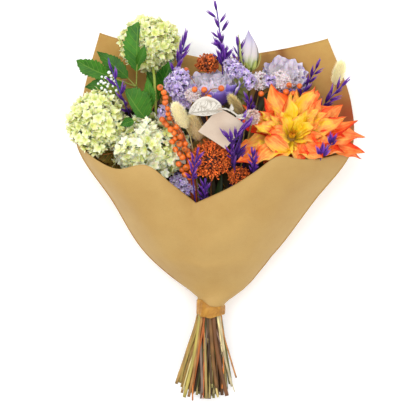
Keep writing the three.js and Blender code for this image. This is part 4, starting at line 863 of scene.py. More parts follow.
def frontStemPiece():
    rng = seeded(40)
    bag = newBag()
    run = steps(26)[:, None]
    for colour, thick, points in frontStems:
        path = curveAtLength([(points[0][0] * 0.8 + 0.8, -204, 36)] + points, 26)
        path[:, :1] += 0.35 * np.sin(run * 9 + rng.random() * 6)
        worn = 0.92 + 0.42 * np.sin(run * (6 + 14 * rng.random()) + rng.random() * 6) ** 2 * (0.4 + rng.random())
        tint = rgb(*colour) * worn * (0.75 + 0.25 * (1 - smooth(run, 0.93, 1.0)))
        radius = thick * (0.92 + 0.16 * rng.random() + 0.14 * (rng.random(26) > 0.88))
        addTubes(bag, path, radius, 8, tint=tint[None])
    # a frayed knot at the end of the pale stem
    loose = lambda: rng.standard_normal((14, 3))
    start = arr([20.2, -277, 42]) + 1.2 * loose()
    ends = start + arr([0, -4, 0]) + 4 * loose() * [0.5, 1, 0.4]
    fibres = np.stack([start, (start + ends) / 2 + 0.8 * loose(), ends], axis=1)
    addTubes(bag, fibres, arr([[0.5, 0.4, 0.15]]), 4, tint=rgb(196, 178, 132))
    makePiece(bag, "frontStems", "stem")


frontStemPiece()
print("stems made")


# Blooms: where each one sits, and the way that it faces
blooms = {
    "viburnum_top": ((-79.5, 143.5, 54), (-0.2, 0.95, 0.25)), "viburnum_left": ((-149, 37, 90), (-0.7, 0.6, 0.4)),
    "viburnum_low": ((-77, 2, 94), (-0.3, 0.65, 0.7)), "dahlia": ((112, 14, 97), (0.12, 0.5, 0.86)),
    "lisianthus_left": ((7, 68, 79), (0, 0.92, 0.38)), "lisianthus_right": ((103, 88, 18.5), (0.12, 0.65, 0.75)),
    "lisianthus_bud": ((58, 112, 70), (-0.06, 0.96, 0.2)), "scabiosa_back": ((70, 92, 76), (0, 0.5, 0.86)),
    "scabiosa_right": ((98.5, 93, 76), (0.1, 0.5, 0.86)), "scabiosa_left": ((-20, 70, 120), (0, 0.5, 0.85)),
    "scabiosa_front": ((58, 40, 147), (0, 0.35, 0.92)), "rust_middle": ((4, -16, 112), (0, 0.55, 0.83)),
    "rust_low": ((42, -38, 108), (0, 0.6, 0.8)), "rust_top": ((-1, 116.5, 62), (0, 0.7, 0.7)),
    "bunny_tail_left": ((-36, 41, 138), (-0.4, 0.8, 0.45)), "bunny_tail_middle": ((-17, 26, 113), (-0.3, 0.75, 0.6)),
    "bunny_tail_right": ((38, 58, 108), (-0.45, 0.6, 0.65)), "bunny_tail_far": ((179, 104, 48), (0.3, 0.94, 0.15)),
}


def bloomFrame(name):
    return framesAlong(blooms[name][1])


def inBloom(name, local):  # places given in a bloom's own frame
    return arr(local) @ bloomFrame(name)[0].T + arr(blooms[name][0])


# Small flowers of five flat petals each, in the frames given
def addFlowers(bag, rng, frames, places, size, width, rise, bend, cup, tint, point=0.55, petals=5):
    n, k = len(frames), len(frames) * petals
    turn = np.tile(around(petals), n) + np.repeat(rng.random(n) * 6.3, petals)
    grids = petalGrids(np.repeat(size, petals) * (0.85 + 0.3 * rng.random(k)), np.repeat(size, petals) * width,
            rise + 0.3 * rng.standard_normal(k), bend + 0.35 * rng.standard_normal(k), cup=cup,
            twist=0.5 * rng.standard_normal(k), outline=rounded(0.75, point), rows=4, columns=3)
    frames, places, tint = (np.repeat(v, petals, axis=0) for v in (frames, places, tint))
    addBlades(bag, placed(grids, turned(frames, turn), places), 0.25, 0, tint)


# Snowballs: two shells of small five-petalled flowers over a dark heart. The outer ones stand at
# slightly different heights, so that gaps show between them.

snowballs = {
    "viburnum_top": {"radius": 34, "seed": 3, "green": 0.45, "wide": (1.12, 1, 1)},
    "viburnum_left": {"radius": 36, "seed": 5, "green": 0.4, "wide": (1, 1.06, 1)},
    "viburnum_low": {"radius": 39, "seed": 9, "green": -1.0, "wide": (1.2, 1.02, 1)},
}
# the inner shell's lower light is painted shade deep in the ball
snowballShells = [(225, (0.85, 1.07), 1.0), (200, (0.76, 0.88), 0.94)]  # flowers, range of radius, light
snowballFlower = {"petal": (7.2, 10.8), "width": 0.78, "tilt": 0.4}


def snowball(name, radius, seed, green, wide):
    rng = seeded(seed)
    bag = newBag()
    middle = arr(blooms[name][0])
    for count, reach, light in snowballShells:
        out = ballDirections(rng, count, -1.0, 0.06)
        lumps = 0.07 * np.sin(4.1 * out[:, 0] + seed) * np.sin(3.7 * out[:, 1] + 1)
        lumps = lumps + 0.04 * np.sin(7 * out[:, 2] + seed)
        far = radius * (between(reach, rng.random(count)) + lumps)
        facing = unit(out + snowballFlower["tilt"] * rng.standard_normal((count, 3)))
        size = between(snowballFlower["petal"], rng.random(count))
        places = (inBloom(name, out * far[:, None]) - middle) * wide + middle
        frames = framesAlong(facing @ bloomFrame(name)[0].T)
        tint = petalTints(rng, count, 0.82, 0.18) * (1 - green, light, 1)
        addFlowers(bag, rng, frames, places, size, snowballFlower["width"], 0.3, 0.2, 0.1, tint, 0.9)
        stalks = np.stack([inBloom(name, out * radius * 0.55), places], axis=1)
        addTubes(bag, stalks, 0.45, 3, 1, rgb(120, 142, 60))
    addDrops(bag, ballProfile(10, radius * 0.66), bloomFrame(name), middle, 1, 16, 1, rgb(178, 190, 98))
    makePiece(bag, camelName(name, "Snowball"), "floret stem", name + "_head")


for name in snowballs:
    snowball(name, **snowballs[name])
print("snowballs made")


# Viburnum leaves: toothed blades, arched along the middle and raised beside it, some with two outlines in
# millimetres of their own. Each hangs on a stalk from its plant's stem.

leaves = {
    "viburnum_shoot": [
        {"base": (-96, 103, 92), "tip": (-93.6, 171, 100), "up": (-0.2, 0, 0.97),
        "right": ([0, 0.1, 0.25, 0.38, 0.47, 0.53, 0.6, 0.9, 0.97, 1],
        [0, 5.4, 7.2, 7.4, 5, 2.4, 2.4, 3.4, 1.6, 0]),
        "left": ([0, 0.12, 0.28, 0.4, 0.57, 0.7, 0.8, 0.89, 0.9, 0.95, 1],
        [0, 9.4, 16.7, 18.6, 20, 17.4, 15.8, 15.1, 12, 6.7, 0])},
        {"base": (-95.5, 112, 97), "tip": (-85, 140, 102), "up": (0.2, 0, 1), "width": 15},
        {"base": (-133.6, 98, 94), "tip": (-178, 120, 92), "up": (0, -0.2, 0.98),
        "right": ([0, 0.1, 0.19, 0.35, 0.47, 0.6, 0.77, 0.79, 0.9, 1],
        [0, 8, 11.9, 14.7, 15.1, 13.1, 9.6, 7.2, 4.8, 0]), "left": ([0, 0.06, 0.23, 0.42, 0.6, 0.75, 0.77, 0.89, 1],
        [0, 5.9, 10, 11, 12.3, 12.7, 9.4, 6.4, 0])},
        {"base": (-108, 96, 74), "tip": (-152, 134, 66), "up": (0.2, 0, 0.98), "width": 26},
        {"base": (-112, 84, 84), "tip": (-168, 84, 80), "up": (0, 0.2, 0.98), "width": 30},
        {"base": (-83, 39, 112), "tip": (-111, 79, 118), "up": (-0.1, -0.1, 0.99),
        "right": ([0, 0.08, 0.2, 0.35, 0.5, 0.65, 0.8, 0.9, 1], [0, 13.4, 19.4, 24.8, 27.5, 24.1, 18.5, 11.4, 0]),
        "left": ([0, 0.2, 0.4, 0.61, 0.87, 1], [0, 8.4, 6.7, 5.2, 3, 0])},
        {"base": (-76, 54, 113), "tip": (-81, 95, 121), "up": (0, 0, 1), "width": 18},
        {"base": (-98, 36, 134), "tip": (-117, 29, 138), "up": (0, 0, 1), "width": 15},
    ],
    "viburnum_top": [
        {"base": (-66, 74, 62), "tip": (-50, 122, 76), "up": (0, -0.3, 0.95), "width": 34, "tint": (0.8, 0.9, 0.9)},
        {"base": (-68, 66, 56), "tip": (-84, 110, 62), "up": (0.3, -0.2, 0.95), "width": 24},
    ],
    "viburnum_left": [
        {"base": (-118, -2, 70), "tip": (-158, -8, 76), "up": (-0.3, -0.5, 0.8), "width": 28, "tint": (6.5, 1.1, 2.6)},
        {"base": (-112, -6, 68), "tip": (-140, -30, 84), "up": (0, -0.6, 0.8), "width": 26, "tint": (5.5, 0.95, 2.4)},
        {"base": (-104, -8, 66), "tip": (-114, -34, 86), "up": (0, -0.6, 0.8), "width": 26, "tint": (4.5, 0.9, 2.2)},
    ],
}
leafShape = {
    "outline": ([0, 0.08, 0.2, 0.42, 0.6, 0.76, 0.9, 1], [0, 0.5, 0.85, 1, 0.86, 0.56, 0.22, 0]),
    "teeth": 10, "toothDepth": 0.2, "rows": 51, "columns": 13, "arch": 12, "trough": 3.2, "ribs": 0.5,
    "forward": 0.06, "thickness": 0.5,
}
# the top snowball's stem comes forward between the leaves
stemInFront = [(-77, 120, 60), (-74, 106, 78), (-72, 92, 98), (-71, 72, 106), (-70, 52, 104), (-70, 34, 86)]


def leafGrid(leaf, phase):
    base, tip = arr(leaf["base"]), arr(leaf["tip"])
    length = np.linalg.norm(tip - base)
    t = steps(leafShape["rows"])[:, None]
    s = steps(leafShape["columns"], -1)[None, :]
    forward = leafShape["forward"] * length * s * s * np.sin(math.pi * np.clip(t / 0.62, 0, 1))
    half = leaf.get("width", 0) / 2 * np.interp(t, *leafShape["outline"]) + 0 * s
    if "right" in leaf:
        forward = 0
        half = np.where(s > 0, np.interp(t, *leaf["right"]), np.interp(t, *leaf["left"]))
    outline = half / half.max()
    half = half * (1 - leafShape["toothDepth"] * np.mod(-t * leafShape["teeth"], 1) * np.abs(s) ** 4)
    x = half * s + 0.03 * length * np.sin(math.pi * t) * np.sin(phase)
    ribs = leafShape["ribs"] * np.cos(fullTurn * (7 * t - 1.8 * np.abs(s)))
    z = (ribs + 1.2 * np.sin(5 * t + 2 * s + phase)) * outline * np.abs(s)
    z = z + leafShape["arch"] * t * (1 - t) + leafShape["trough"] * outline * np.abs(s) ** 1.2
    return placed(surface(x, t * length + forward, z)[None], framesOut(unit(tip - base), arr(leaf["up"])), base)


def leafStalk(plant, base, tip):  # from the plant's stem, a little below the leaf
    stem = curveAtLength(stemLines[plant][aboveBinding:], 41)
    below = stem[stem[:, 1] < base[1] - 8]
    root = below[np.argmin(np.linalg.norm(below - base, axis=1))]
    inLeaf = between((arr(base), arr(tip)), 0.1) + (0, 0, 0.4)
    return curveAt([root, (root + base) / 2 + (0, 0, -1.5), base, inLeaf], 12)


def leafyStem(plant, node, name):
    bag = stemBag(plant)
    rng = seeded(len(name))
    for i, leaf in enumerate(leaves[plant]):
        shade = (0.85 + 0.3 * rng.random()) * arr(leaf.get("tint", (1, 1, 1)))
        addBlades(bag, leafGrid(leaf, i * 2.1), leafShape["thickness"], 1, shade)
        addTubes(bag, leafStalk(plant, leaf["base"], leaf["tip"]), steps(12, 1.0, 0.6), 6, 0, rgb(138, 152, 58))
    if plant == "viburnum_top":
        addTubes(bag, curveAtLength(stemInFront, 20), 1.8, 8, 0, rgb(150, 166, 62))
    makePiece(bag, name, "stem leaf", node)


leafyStem("viburnum_shoot", "viburnum_shoot", "leafyShoot")
leafyStem("viburnum_top", "viburnum_top_stem", "viburnumTopStem")
leafyStem("viburnum_left", "viburnum_left_stem", "viburnumLeftStem")
print("leaves made")


# The dahlia: pointed petals on rising, bending centre lines, folded along the middle and waved at the edge,
# round a small heart of closed ones. One row for each petal: turn from the right, length, width, rise, bend
# and twist in degrees, and how red it is.

dahliaPetals = [
    (3, 97, 38, 6, 8, 10, 0.6), (353, 97, 32, 0, 4, -14, 0.75), (348, 98, 26, -5, 2, 8, 1),
    (16, 78, 26, 9, 30, 30, 0.6), (31, 81, 34, 12, 8, -12, 0.6), (58, 78, 26, 16, 12, 34, 0.7),
    (66, 77, 27, 26, -8, -22, 0.45), (91, 67, 26, 8, 4, 10, 1), (107, 73, 32, 16, 4, 12, 0.5),
    (144, 76, 15, 10, 26, 30, 0.8), (141, 55, 27, 30, 4, -18, 0.35), (172, 80, 24, 8, 10, 20, 1),
    (190, 77, 32, 6, 6, -8, 0.55), (212, 89, 30, 6, 4, 14, 0.7), (222, 81, 28, 20, 2, -12, 0.5),
    (188, 66, 22, 34, 8, 18, 0.12), (197, 42, 25, 52, -46, 22, 0.6), (239, 63, 26, 26, -14, -20, 0.65),
    (276, 48, 30, 26, -16, 16, 0.7), (310, 55, 34, 22, -10, -12, 0.7), (336, 72, 34, 10, 0, 12, 0.8),
    (314, 44, 28, 6, -6, 0, 0.8), (264, 42, 28, 6, -6, 0, 0.8), (229, 56, 28, 4, -4, 0, 0.8),
    (63, 42, 18, 52, 8, 24, 0.05), (12, 40, 18, 44, 12, -20, 0.1), (0, 70, 27, 22, 12, -26, 0.35),
    (25, 57, 22, 34, 4, 20, 0.3), (123, 42, 19, 48, 6, 14, 0.15), (162, 54, 20, 36, 10, -16, 0.1),
    (335, 37, 18, 36, 14, 16, 0.4), (307, 32, 20, 22, 4, -14, 0.55), (5, 88, 20, 12, 14, -24, 0.9),
    (23, 70, 20, 20, 16, 26, 0.7), (45, 66, 20, 20, 18, -20, 0.7), (78, 62, 18, 24, 6, 24, 0.3),
    (100, 60, 18, 22, 8, -18, 0.4), (132, 62, 16, 20, 16, 22, 0.8), (156, 66, 18, 22, 6, -26, 0.5),
    (181, 62, 18, 26, 4, 22, 0.4), (203, 66, 20, 16, 6, -16, 0.6), (353, 66, 22, 18, 10, 20, 0.8),
    (344, 58, 20, 26, 4, -20, 0.6), (40, 54, 20, 40, 8, 20, 0.2), (95, 56, 20, 44, 6, -16, 0.1),
    (150, 46, 18, 42, 8, 22, 0.2), (215, 44, 18, 36, -14, 18, 0.4), (350, 44, 18, 32, 8, -22, 0.45),
]
dahlia = {
    "folded": {"line": [(113, -3, 112), (108, -5, 122), (99, 0, 129), (88, 8, 131), (76.5, 16.5, 124)], "width": 22,
        "outline": ([0, 0.2, 0.4, 0.6, 0.8, 0.92, 0.97, 1], [0.12, 0.34, 0.82, 1, 0.92, 0.62, 0.36, 0])},
    "heart": {"count": 13, "length": (19, 11), "width": 7, "rise": (62, 86)},
    "core": [(-7, 0), (-6, 5), (-2, 8), (1, 8), (4, 5), (5, 0)],
    "rows": 26, "columns": 13, "start": 4, "wave": 0.22, "sway": 0.12, "curl": 0.07, "ridge": 0.7, "fold": 0.15,
    "crease": 0.5,  # how sharply one side of a petal stands up from the other
    "outline": ([0, 0.06, 0.16, 0.3, 0.44, 0.58, 0.7, 0.8, 0.88, 0.95, 1],
        [0, 0.42, 0.68, 0.9, 1, 0.97, 0.82, 0.58, 0.34, 0.13, 0]),
    "thickness": 0.7,
}


def dahliaBloom():
    rng = seeded(12)
    place, frame = blooms["dahlia"][0], bloomFrame("dahlia")
    turn, length, width, rise, bend, twist, red = arr(dahliaPetals).T
    k = len(turn)
    one = lambda v: np.reshape(v, (k, 1, 1))
    draw = lambda: one(rng.random(k))
    cup = dahlia["fold"] * (0.5 + 1.4 * rng.random(k))
    wave = dahlia["wave"] * (0.6 + 0.8 * rng.random(k))
    grids = petalGrids(length, width, np.radians(rise), np.radians(bend), np.radians(twist), cup, wave,
            2.6, rng.random(k) * 6.3, lambda t: np.interp(t, *dahlia["outline"]), dahlia["rows"],
            dahlia["columns"], dahlia["start"])
    t = steps(dahlia["rows"])[None, :, None]
    s = steps(dahlia["columns"], -1)[None, None, :]
    # each petal sways to one side, is wider on one side in places, has ridges, and curls at its tip
    grids[..., 0] *= 1 + 0.2 * np.sin(8 * t + draw() * 6 + 1.6 * np.sign(s))
    grids[..., 0] += one(length * dahlia["sway"] * rng.standard_normal(k)) * t**2.2
    grids[..., 0] += 0.35 * np.sin(7 * t + draw() * 6) * t
    grids[..., 2] += dahlia["ridge"] * np.sin(math.pi * t) * np.cos(s * 7.5 + draw() * 6 + 2 * t)
    grids[..., 2] += one(length * dahlia["curl"] * rng.standard_normal(k)) * smooth(t, 0.7, 1) ** 2
    crease = np.abs(s - one(0.45 * rng.standard_normal(k).clip(-1.2, 1.2)))
    crease = crease * one(width) / 2 * dahlia["crease"] * (draw() - 0.25)
    grids[..., 2] += crease * np.sin(math.pi * t) * smooth(t, 0.05, 0.3)
    grids = placed(grids, turned(frame, np.radians(turn - 90)), place)
    # each petal painted darker towards its base, as shade under the petals that lie over it
    light = 0.7 + 0.3 * smooth(t, 0.02, 0.35) + 0 * s
    bag = newBag()
    addBlades(bag, grids, dahlia["thickness"], 0, surface(one(red), light, draw()))
    # the folded petal is a ribbon along its own line
    folded, t, s = dahlia["folded"], t[0], s[0]
    line = curveAtLength(folded["line"], t[:, 0])
    side = unit(np.cross(np.gradient(line, axis=0), (0.15, -0.1, 1)))[:, None]
    half = folded["width"] / 2 * np.interp(t, *folded["outline"]) * (1 + 0.05 * np.sin(17 * t + 2 * s))
    ribbon = line[:, None] + side * (half * s)[..., None]
    ribbon[..., 2] += 3.4 * (1 - 1.6 * s**2) * half / 12 + 0.5 * np.sin(9 * t + 4 * s) - 2.5 * smooth(s, 0.2, 1)
    shade = surface(0.35 + 0.3 * t + 0 * s, 0.8 + 0.2 * t, 0.9)
    addBlades(bag, ribbon, dahlia["thickness"], 0, shade[None], poles=(False, True))
    heart = dahlia["heart"]
    share = np.arange(heart["count"]) / heart["count"]
    small = petalGrids(between(heart["length"], share), heart["width"], np.radians(between(heart["rise"], share)),
            0.35, 0.2, 0.4, 0.05, 1.5, share * 6, rows=10, columns=5, start=1.5)
    small = placed(small, turned(frame, np.arange(heart["count"]) * goldenTurn), place)
    addBlades(bag, small, 0.5, 1, surface(share, 0.75 + 0.25 * share, share))
    addDrops(bag, dahlia["core"], frame, place, sides=14, slot=2, tint=rgb(138, 104, 22))
    makePiece(bag, "dahliaBloom", "dahlia dahliaHeart stem", "dahlia_bloom")


dahliaBloom()
print("dahlia made")


# Lisianthus: rings of broad petals that overlap their neighbours, rise steeply and flare into ruffles.
# Reach grows from foot to rim as sin(t pi/2)^0.8, and the ruffle grows as t^4.

lisianthusRings = [  # petals, foot, rim, height, half span of a petal, floor
    (5, 8, 31, 27, 0.98, 0.0), (5, 7, 27, 28, 0.92, 0.6), (5, 6, 20, 27, 0.98, 1.2), (4, 4, 13, 26, 1.1, 1.8),
    (3, 2, 6.5, 24, 1.5, 2.4),
]
lisianthus = {
    "lisianthus_left": {"seed": 2, "open": 1.2, "tall": 1.46, "sink": 10, "light": 0.86},
    "lisianthus_right": {"seed": 7, "open": 1.06, "tall": 1.0, "sink": 0, "light": 1.0},
}
ruffle = {"size": 3.4, "thickness": 0.45, "rows": 15, "columns": 31, "outerRings": 2}
calyx = {"sepals": 5, "length": 20, "width": 3.2, "rise": math.radians(38), "below": 4,
        "foot": [(-4, 0), (-3.5, 3), (0, 7.5), (4, 9.5), (4.5, 0)]}


def lisianthusBloom(name, seed, open, tall, sink, light):
    rng = seeded(seed)
    frame = bloomFrame(name)
    place = blooms[name][0] - frame[0, :, 2] * sink
    t = steps(ruffle["rows"])[:, None]
    u = steps(ruffle["columns"], 1, -1)[None, :]
    flare = t**4 * ruffle["size"]
    bag = newBag()
    for ring, (count, foot, rim, height, span, floor) in enumerate(lisianthusRings):
        for k in range(count):
            turn = (k + 0.5 * (ring % 2)) * fullTurn / count + 0.25 * rng.standard_normal()
            p1, p2, p3 = rng.random(3) * 6.3
            size = 1 + 0.06 * rng.standard_normal()
            reach = foot + (rim * open * size - foot) * np.sin(t * math.pi / 2) ** 0.8 + 0.9 * u * t
            waves = 0.8 * np.sin(6.5 * u + p1) + 0.45 * np.sin(14 * u + p2) + 0.2 * np.sin(23 * u + p3)
            reach = reach + flare * waves
            z = floor + tall * height * size * (1 - 0.16 * u**4) * t * (1 - 0.1 * t)
            z = z + 0.6 * flare * (np.sin(9 * u + p3) + 0.5 * np.cos(17 * u + p1))
            angle = turn + u * span * (0.62 + 0.38 * t) * (1 - 0.12 * t**4)
            grid = placed(surface(reach * np.cos(angle), reach * np.sin(angle), z)[None], frame, place)
            # painted shade in the tint: each petal darker towards its foot, deep in the cup, scaled by the bloom's
            # light
            tint = surface(rng.random() + 0 * t * u, light * (0.55 + 0.45 * t), 0.15 + 0.2 * ring)
            faces = (0, 1 if ring < ruffle["outerRings"] else 0)
            addBlades(bag, grid, ruffle["thickness"], faces, tint[None], poles=(False, False))
    addDrops(bag, calyx["foot"], frame, place, sides=12, slot=2, tint=rgb(110, 136, 62))
    sepals = petalGrids(calyx["length"], calyx["width"], calyx["rise"], 0.4, cup=0.25, rows=9, columns=5, start=1.0)
    frames = turned(frame, 0.4 + around(calyx["sepals"]))
    addBlades(bag, placed(sepals, frames, place - frame[0, :, 2] * calyx["below"]), 0.5, 2, rgb(164, 178, 92))
    makePiece(bag, camelName(name, "Bloom"), "lisianthus lisianthusOuter stem", name + "_bloom")


for name in lisianthus:
    lisianthusBloom(name, **lisianthus[name])

# The bud: petals rolled round each other, whose free edges climb round it, and sepals that stand off
bud = {"length": 51, "width": 26, "petals": 4, "roll": 2.9, "twist": 1.1, "thickness": 0.5,
       "core": [(0.5, 0), (2, 4), (12, 7.5), (25, 8.5), (38, 5.5), (45, 0)],
       "foot": [(-5, 0), (-4.5, 2.6), (-1, 6), (3, 7), (3.2, 0)],
       "sepals": [(222, 1.0), (190, 0.92), (262, 0.3), (318, 0.34), (8, 0.5), (90, 0.6)],  # turn, share of the path
       "sepalPath": [(4, 0, -5), (9.5, 0, -1), (13.5, 0, 7), (15.5, 0, 20), (15, 0, 34), (16.5, 0, 49)],
       "sepalHalf": 3.1}


def lisianthusBud():
    frame, place = bloomFrame("lisianthus_bud"), blooms["lisianthus_bud"][0]
    t = steps(22)[:, None]
    u = steps(15, 1, 0)[None, :]
    swell = 0.42 + 0.6 * np.sin(math.pi * np.minimum(1, 0.12 + 0.9 * t)) - 0.34 * t
    bag = newBag()
    for k in range(bud["petals"]):
        angle = k * fullTurn / bud["petals"] + (1 - u) * bud["roll"] + bud["twist"] * t
        reach = np.maximum(0.4, bud["width"] / 2 * swell * (0.9 + 0.16 * (u > 0) * u**3)) - 0.35 * (1 - u)
        reach = reach + 0.9 * u**6 * smooth(t, 0.5, 1)
        z = bud["length"] * t * (1 - 0.05 * k / 3) - 3.5 * t**3 * (2 * u - 1) ** 2
        grid = placed(surface(reach * np.cos(angle), reach * np.sin(angle), z)[None], frame, place)
        # painted shade: each petal darker towards its rolled-in side
        tint = surface(0.2 * k, 0.86 + 0.14 * u + 0 * t, 0)
        addBlades(bag, grid, bud["thickness"], 0, tint[None], poles=(False, False))
    addDrops(bag, bud["core"], frame, place, sides=16, tint=(0.4, 0.8, 0))
    makePiece(bag, "lisianthusBudPetals", "bud", "lisianthus_bud_petals")
    bag = stemBag("lisianthus_bud")
    addDrops(bag, bud["foot"], frame, place, sides=12, tint=rgb(150, 166, 70))
    # a sepal is a ribbon up a path of (reach, 0, height), turned about the bud's own line
    wide = bud["sepalHalf"] * np.sin(math.pi * steps(14, 0.12, 1))[:, None] ** 0.7 * steps(5, -1)
    for turn, share in bud["sepals"]:
        path = curveAtLength(bud["sepalPath"], steps(14) * share)
        sepal = surface(wide, -path[:, :1] + 0.12 * wide**2, path[:, 2:])
        frames = turned(frame, np.radians([turn + 90]))
        addBlades(bag, placed(sepal[None], frames, place), 0.5, 0, rgb(176, 186, 96), poles=(False, True))
    makePiece(bag, "lisianthusBudStem", "stem", "lisianthus_bud_stem")


lisianthusBud()
print("lisianthus made")


# Statice: clumps of papery funnel flowers on a forked stem. A clump is a place, its reach and its height.

statice = {
    "statice_left": [(-34, 64, 100, 11, 10), (-37, 80, 106, 12, 10), (-46, 86, 102, 10, 9), (-37, 95, 102, 10, 9),
        (-57, 48, 112, 8, 7)],
    "statice_right": [(31, 112, 86, 8, 7), (38, 104, 90, 9, 8), (47, 98, 90, 9, 8), (54, 90, 90, 8, 8),
        (84, 92, 82, 6, 6)],
    "statice_low": [(-38, -46, 94, 10, 8), (-27, -52, 92, 9, 7)],
}
staticeFlower = {"facing": (0, 0.4, 0.9), "size": (2.4, 3.6), "spacing": 3.1, "lobes": 5, "depth": 1.1, "rows": 4,
        "around": 10}


# Small funnel flowers with lobed rims: the radius swings with the lobes more and more towards the rim
def addFunnels(bag, frames, places, sizes, tint):
    turn = around(staticeFlower["around"])
    share = steps(staticeFlower["rows"])[:, None]
    swing = share * np.cos(staticeFlower["lobes"] * turn)
    reach = (0.12 + 0.88 * share**1.3) * (1 + 0.24 * swing)
    height = staticeFlower["depth"] * share**0.6 + 0.1 * share * np.cos(staticeFlower["lobes"] * turn + 1)
    grid = surface(reach * np.cos(turn), reach * np.sin(turn), height)
    foot = np.broadcast_to(arr([0, 0, -0.25]), (1,) + grid.shape[1:])
    grid = np.concatenate([foot, grid])[:, ::-1]
    addBlades(bag, placed(grid[None], frames, places, sizes), 0.22, 0, tint, True, (True, False))


def staticeSpray(name, seed):
    rng = seeded(seed)
    frame = framesAlong(staticeFlower["facing"])
    fork = arr(stemLines[name][-2])
    bag = stemBag(name, 1, 6)
    for x, y, z, reach, height in statice[name]:
        count = int(fullTurn * reach**2 / staticeFlower["spacing"] ** 2)
        out = ballDirections(rng, count, -0.25, 0.12)
        lumps = 1 + 0.14 * np.sin(5 * out[:, 0] + x) * np.sin(4.6 * out[:, 1] + y) + 0.1 * np.sin(9 * out[:, 2] + x)
        local = out * [reach, reach, height] * (lumps * (0.78 + 0.3 * rng.random(count)))[:, None]
        places = local @ frame[0].T + (x, y, z)
        facing = unit(out + 0.3 * rng.standard_normal((count, 3))) @ frame[0].T
        sizes = between(staticeFlower["size"], rng.random(count))
        addFunnels(bag, framesAlong(facing), places, sizes, petalTints(rng, count, 0.5, 0.6))
        foot = (x, y, z) - frame[0, :, 2] * height * 0.3
        stalks = np.stack([np.broadcast_to(foot, places.shape), places], axis=1)
        addTubes(bag, stalks, 0.5, 3, 1, rgb(92, 96, 70))
        # a darker purple body inside each clump, its colour painted as shade in the gaps between the flowers
        addDrops(bag, ballProfile(7), frame, (x, y, z), reach * 0.66, 12, 1, rgb(104, 82, 150))
        addTubes(bag, curveAt([fork, (fork + foot) / 2 + (0, 0, -1.5), foot], 6), 0.9, 6, 1, rgb(104, 118, 60))
    makePiece(bag, camelName(name), "statice stem", name)


for seed, name in enumerate(statice):
    staticeSpray(name, seed + 31)
print("statice made")


# Scabiosa: soft tufts of small flowers with narrow petals and fine hairs, and brown seeds between them

scabiosa = {"scabiosa_back": (13, 10), "scabiosa_right": (13, 10), "scabiosa_left": (10, 8), "scabiosa_front": (10, 8)}
scabiosaParts = {"flowers": 95, "seeds": 26, "petals": 22, "petalWidth": 4.6}


def scabiosaHead(name, radius, height):
    rng = seeded(int(radius * 7 + len(name)))
    frame = bloomFrame(name)
    bag = newBag()
    for count, far, sizes in ((scabiosaParts["flowers"], 1.0, (4.2, 6.2)), (scabiosaParts["seeds"], 0.98, (0.8, 1.2))):
        out = ballDirections(rng, count, -0.1, 0.14)
        local = out * arr([radius, radius, height]) * 0.82 * (far * (0.86 + 0.2 * rng.random(count)))[:, None]
        facing = unit(out + 0.35 * rng.standard_normal((count, 3))) @ frame[0].T
        places = inBloom(name, local)
        size = between(sizes, rng.random(count))
        if count == scabiosaParts["seeds"]:
            places = places + facing * 1.2
            addDrops(bag, ballProfile(4, 0.5, 1.6), framesAlong(facing), places, size, 5, 1, rgb(206, 128, 84))
            continue
        tint = petalTints(rng, count, 0.8, 0.2)
        addFlowers(bag, rng, framesAlong(facing), places, size * radius / 13, 0.5, 0.75, -0.3, 0.2, tint)
        hairEnds = places + facing * (1.5 + 2.5 * rng.random(count))[:, None]
        hairs = np.stack([inBloom(name, local * 0.3), places, hairEnds], axis=1)
        addTubes(bag, hairs, arr([[0.3, 0.25, 0.12]]), 3, 1, rgb(236, 214, 206))
    n = scabiosaParts["petals"]
    ring = petalGrids(radius * (0.62 + 0.14 * rng.random(n)), scabiosaParts["petalWidth"], 0.2 + 0.3 * rng.random(n),
            -0.4, cup=0.15, wave=0.12, waves=2, phase=rng.random(n) * 6, outline=rounded(0.9, 0.5), rows=7,
            columns=5, start=radius * 0.34)
    frames = turned(frame, around(n))
    addBlades(bag, placed(ring, frames, blooms[name][0]), 0.25, 0, (0.5, 0.85, 0))
    core = [(-4.5, 0), (-4, 2.5), (0, radius * 0.45), (height * 0.55, radius * 0.4), (height * 0.6, 0)]
    addDrops(bag, core, frame, blooms[name][0], sides=12, slot=1, tint=rgb(222, 196, 184))
    # the front tuft takes the floret painted with the dahlia's orange light
    faces = "faded stem" if name == "scabiosa_front" else "scabiosa stem"
    makePiece(bag, camelName(name, "Tuft"), faces, name + "_head")


for name in scabiosa:
    scabiosaHead(name, *scabiosa[name])
print("scabiosa made")


# Bunny tails: a soft body of fine hairs that lean towards its tip. Half its width, half its length and its
# colour, which is darker and browner for the ones that lie deeper in the bunch, as painted shade.

bunnyTails = {
    "bunny_tail_left": (6.4, 18.8, (255, 242, 198)), "bunny_tail_middle": (6.9, 19.8, (240, 218, 166)),
    "bunny_tail_right": (3.2, 16.8, (222, 204, 146)), "bunny_tail_far": (5.4, 15.8, (255, 242, 198)),
}
tailHairs = {"count": 900, "length": (4.5, 7.5), "radii": [[0.24, 0.192, 0.048]], "lean": 1.5}


